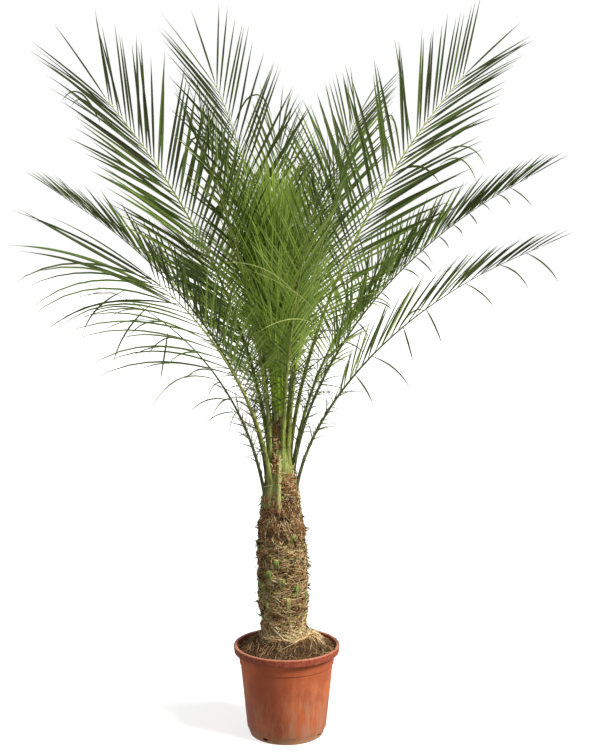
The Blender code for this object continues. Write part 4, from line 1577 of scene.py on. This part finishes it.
def make_spines(leaves, materials):
    """Sparse long spines and many short pale barbs along the bare stalks."""
    rng = np.random.default_rng(41)
    taper = 1.0 - 0.85 * np.linspace(0.0, 1.0, SPINE_ROWS)
    low, high = SPINE_SHARES
    paths = []
    radii = []
    for leaf in leaves:
        for number in range(SPINES_TO_A_LEAF):
            share = low + (high - low) * ((number + rng.random()) / SPINES_TO_A_LEAF) ** 0.7
            lengths = (0.022 + 0.12 * share, 0.045 + 0.20 * share)
            paths.append(spine_path(leaf, rng, share, SPINE_ANGLES, lengths, SPINE_SAG))
            radii.append(rng.uniform(*SPINE_RADII) * taper)
        for _ in range(BARBS_TO_A_LEAF):
            share = rng.uniform(*BARB_SHARES)
            paths.append(spine_path(leaf, rng, share, BARB_ANGLES, BARB_LENGTHS, 0.0))
            radii.append(rng.uniform(*BARB_RADII) * taper)
    tones = ([0] * SPINES_TO_A_LEAF + [1] * BARBS_TO_A_LEAF) * len(leaves)
    kinds = (materials[STALK_SPINE], materials[STALK_EDGE])
    strand_piece("stalk_spines", np.array(paths), np.array(radii), tones, kinds, "stalk_green", 4)


def make_wisps(leaves, materials):
    """Thin half-dry leaflets, bent every way, where each stalk passes into its blade."""
    rng = np.random.default_rng(42)
    rows = []
    for leaf in leaves:
        for _ in range(WISPS_TO_A_LEAF):
            share = rng.uniform(*WISP_SHARES)
            place, level, _, heading = offshoot(leaf, rng, share, WISP_ANGLES, WISP_FOLDS)
            face = np.cross(heading, level)
            length = rng.uniform(*WISP_LENGTHS)
            droop = rng.uniform(*WISP_DROOPS)
            tone = rng.integers(1, 3)
            rows.append((place, heading, face, length, rng.uniform(*WISP_WIDTHS), droop, tone))
    leaflet_piece("loose_wisps", rows, materials)


def make_fringe(leaves, materials):
    """The long leaflets that arch out to the left from one leaf."""
    rng = np.random.default_rng(43)
    leaf = next(leaf for leaf in leaves if leaf.name == FRINGE_LEAF)
    rows = []
    for share in np.linspace(*FRINGE_SHARES, FRINGE_COUNT):
        place = leaf.frame_at(share + rng.normal(0.0, 0.010))[0]
        heading = unit(np.array(FRINGE_HEADING) + rng.normal(0.0, 0.07, 3))
        length = rng.uniform(*FRINGE_LENGTHS)
        droop = rng.uniform(*FRINGE_DROOPS)
        width = rng.uniform(*FRINGE_WIDTHS)
        rows.append((place, heading, TO_THE_FRONT, length, width, droop, rng.integers(1, 3)))
    leaflet_piece("fringe_leaflets", rows, materials)


def make_hangers(leaves, materials):
    """Single leaflets that curve over and hang below the low leaves."""
    rng = np.random.default_rng(44)
    rows = []
    for leaf in leaves:
        if leaf.name not in HANGERS:
            continue
        count, lengths, sweeps, width = HANGERS[leaf.name]
        for share in np.linspace(*HANGER_SHARES, count):
            place, tangent, _, _ = leaf.frame_at(share + rng.normal(0.0, 0.012))
            sweep = rng.uniform(*sweeps)
            heading = unit(tangent * sweep - UP + rng.normal(0.0, 0.06, 3))
            droop = sweep * rng.uniform(0.4, 1.4)
            length = rng.uniform(*lengths)
            rows.append((place, heading, TO_THE_FRONT, length, width, droop, HANGER_TONE))
    leaflet_piece("hanging_leaflets", rows, materials)


def make_strays(materials):
    """Long leaflets that arch across the plant, as ribbons along quadratic curves."""
    skin = Skin()
    along = np.linspace(0.0, 1.0, STRAY_ROWS)[:, None]
    for *places, width, tone in STRAYS:
        start, middle, end = np.array(places)
        control = 2.0 * middle - (start + end) / 2
        path = start * (1 - along) ** 2 + 2 * control * along * (1 - along) + end * along ** 2
        tangent = unit(np.gradient(path, axis=0))
        across = unit(np.cross(tangent, np.array((0.0, -1.0, 0.35))))
        half = width / 2 * eased(LEAFLET_OUTLINE, along[:, 0])[:, None]
        keel = np.cross(across, tangent) * half * 0.5
        sheet = np.stack((path + across * half, path + keel, path - across * half), axis=1)
        skin.add_grids(sheet[None], [tone], closed=False)
    skin.piece("stray_leaflets", materials, "leaflet_green", crease=60.0)


# Spear

def spear_axis(share):
    """Points on the spear's axis."""
    along = radial(np.array(SPEAR_AZIMUTH)) * math.sin(SPEAR_LEAN) + UP * math.cos(SPEAR_LEAN)
    foot = np.array((TRUNK_TOP_X, 0.0, HEART_TOP))
    return foot + along * (np.asarray(share) * SPEAR_LENGTH)[..., None]


def add_ribbons(skin, paths, out, widths, tones):
    """Leaflets with a keel along paths of the shape (count, rows, 3), with their faces outward."""
    along = unit(np.gradient(paths, axis=1))
    stations = np.linspace(0.0, 1.0, paths.shape[1])
    skin.add_grids(folded(paths, along, out, widths, stations), tones, closed=False)


def make_sheaf(skin):
    """The shut foot of the spear: a pleated core."""
    shares = np.linspace(0.0, SHEAF_TOP, SHEAF_ROWS)
    share, turn = np.meshgrid(shares, full_turn(SHEAF_STEPS), indexing="ij")
    reach = eased(SHEAF_OUTLINE, share) * (0.86 + 0.10 * np.cos(turn * SHEAF_PLEATS))
    points = out_from(spear_axis(share), turn, reach)
    skin.add_grids(points[None], [SPEAR_GREEN], closed=True, capped=True)


def make_sheaf_leaflets(skin, rng):
    """Leaflets pressed upright round the sheaf."""
    count = SHEAF_LEAFLETS
    rows = np.linspace(0.0, 1.0, SHEAF_LEAFLET_ROWS)
    start = 0.02 + 0.30 * rng.random(count)
    share = start[:, None] + rng.uniform(0.22, 0.36, (count, 1)) * rows
    turn = rng.uniform(0.0, math.tau, count)
    swing = turn[:, None] + 0.20 * rng.normal(0.0, 1.0, (count, 1)) * rows
    opening = 0.96 + rng.uniform(0.0, 0.9, (count, 1)) * rows ** 2
    reach = eased(SHEAF_OUTLINE, start)[:, None] * opening
    paths = out_from(spear_axis(share), swing, reach)
    tones = dealt(rng, SHEAF_LEAFLET_TONES, count)
    add_ribbons(skin, paths, radial(turn), rng.uniform(*SHEAF_LEAFLET_WIDTHS, count), tones)


def make_brush(skin, rng):
    """The open top of the spear: narrow leaflets at every angle round its rib."""
    count = BRUSH_LEAFLETS
    rows = np.linspace(0.0, 1.0, BRUSH_ROWS)
    low, high = BRUSH_SHARES
    start = low + (high - low) * rng.random(count)
    turn = rng.uniform(0.0, math.tau, count)
    small, large = BRUSH_ANGLES
    angle = np.radians(small + (large - small) * rng.random(count))
    length = rng.uniform(*BRUSH_LENGTHS, count)
    climb = np.clip((start - low) / (high - low), 0.0, 1.0)
    angle = angle * (1.0 - BRUSH_CLOSING * climb)
    lean = angle[:, None] + rng.normal(0.06, 0.08, (count, 1)) * rows ** 2
    run = length[:, None] * rows
    outward = run * np.sin(lean)
    upward = run * np.cos(lean)
    swing = turn[:, None] + rng.normal(0.0, 0.12, (count, 1)) * rows
    paths = out_from(spear_axis(start)[:, None], swing, outward + 0.006)
    paths = paths + UP * upward[..., None]
    tones = dealt(rng, BRUSH_TONES, count)
    add_ribbons(skin, paths, radial(turn), rng.uniform(*BRUSH_WIDTHS, count), tones)


def make_spear():
    materials = [leafy(name, color, 240.0, (1.0, 1.0, 0.08), 0.22) for name, color in SPEAR_TONES]
    rng = np.random.default_rng(51)
    skin = Skin()
    make_sheaf(skin)
    make_sheaf_leaflets(skin, rng)
    make_brush(skin, rng)
    skin.piece("spear_leaf", materials, "spear_green", ["spear"], crease=40.0)


# Studio

def make_floor():
    bm = bmesh.new()
    bmesh.ops.create_circle(bm, cap_ends=True, segments=96, radius=60.0)
    floor = finished("studio_floor", bm)
    white = Paint("floor_white", FLOOR_PAINT, 0.9, 0.0)
    white.set("Emission Color", WHITE)
    white.set("Emission Strength", FLOOR_GLOW)
    floor.data.materials.append(white.material)
    floor.location.z = -0.0005
    floor.visible_diffuse = False
    floor.visible_glossy = False


def make_backdrop():
    """A white backdrop that lights the plant less than it shows behind it."""
    world = bpy.data.worlds.new("studio")
    world.use_nodes = True
    nodes = world.node_tree.nodes
    seen = nodes.new("ShaderNodeLightPath").outputs["Is Camera Ray"]
    strength = nodes.new("ShaderNodeMapRange")
    strength.inputs["To Min"].default_value = AMBIENT
    strength.inputs["To Max"].default_value = BACKDROP
    world.node_tree.links.new(seen, strength.inputs["Value"])
    background = nodes["Background"]
    background.inputs["Color"].default_value = (*WHITE, 1.0)
    world.node_tree.links.new(strength.outputs["Result"], background.inputs["Strength"])
    bpy.context.scene.world = world


def make_key():
    data = bpy.data.lights.new("key", "SUN")
    data.energy = KEY_STRENGTH
    data.angle = KEY_SPREAD
    data.color = KEY_COLOR
    light = linked("key", data)
    light.rotation_euler = Vector(KEY_FROM).to_track_quat("Z", "Y").to_euler()


def make_studio():
    make_backdrop()
    make_key()
    make_floor()
    bpy.context.scene.view_settings.view_transform = "Standard"


def make_camera():
    data = bpy.data.cameras.new("camera")
    data.sensor_width = SENSOR
    data.lens = CAMERA_FOCUS * SENSOR / PHOTO_SIZE[1]
    camera = linked("camera", data)
    camera.location = CAMERA_PLACE
    camera.rotation_euler = (CAMERA_PITCH, 0.0, 0.0)
    bpy.context.scene.camera = camera


def build():
    make_camera()
    make_studio()
    leaves = [Leaf(order, row) for order, row in enumerate(LEAVES)]
    fibres = fibre_materials()
    bases = base_materials()
    make_pot()
    make_soil()
    make_bark()
    make_trunk_fibres(fibres)
    make_trunk_hairs(fibres)
    make_root_skirt(fibres)
    make_stubs(bases)
    make_heart(bases)
    make_sheaths(leaves, bases)
    make_crown_fibres(fibres)
    stalks = stalk_materials()
    greens = leaflet_materials()
    for leaf in leaves:
        make_rib(leaf, stalks)
        make_leaflets(leaf, greens)
    make_spines(leaves, stalks)
    make_wisps(leaves, greens)
    make_fringe(leaves, greens)
    make_hangers(leaves, greens)
    make_strays(greens)
    make_spear()


build()
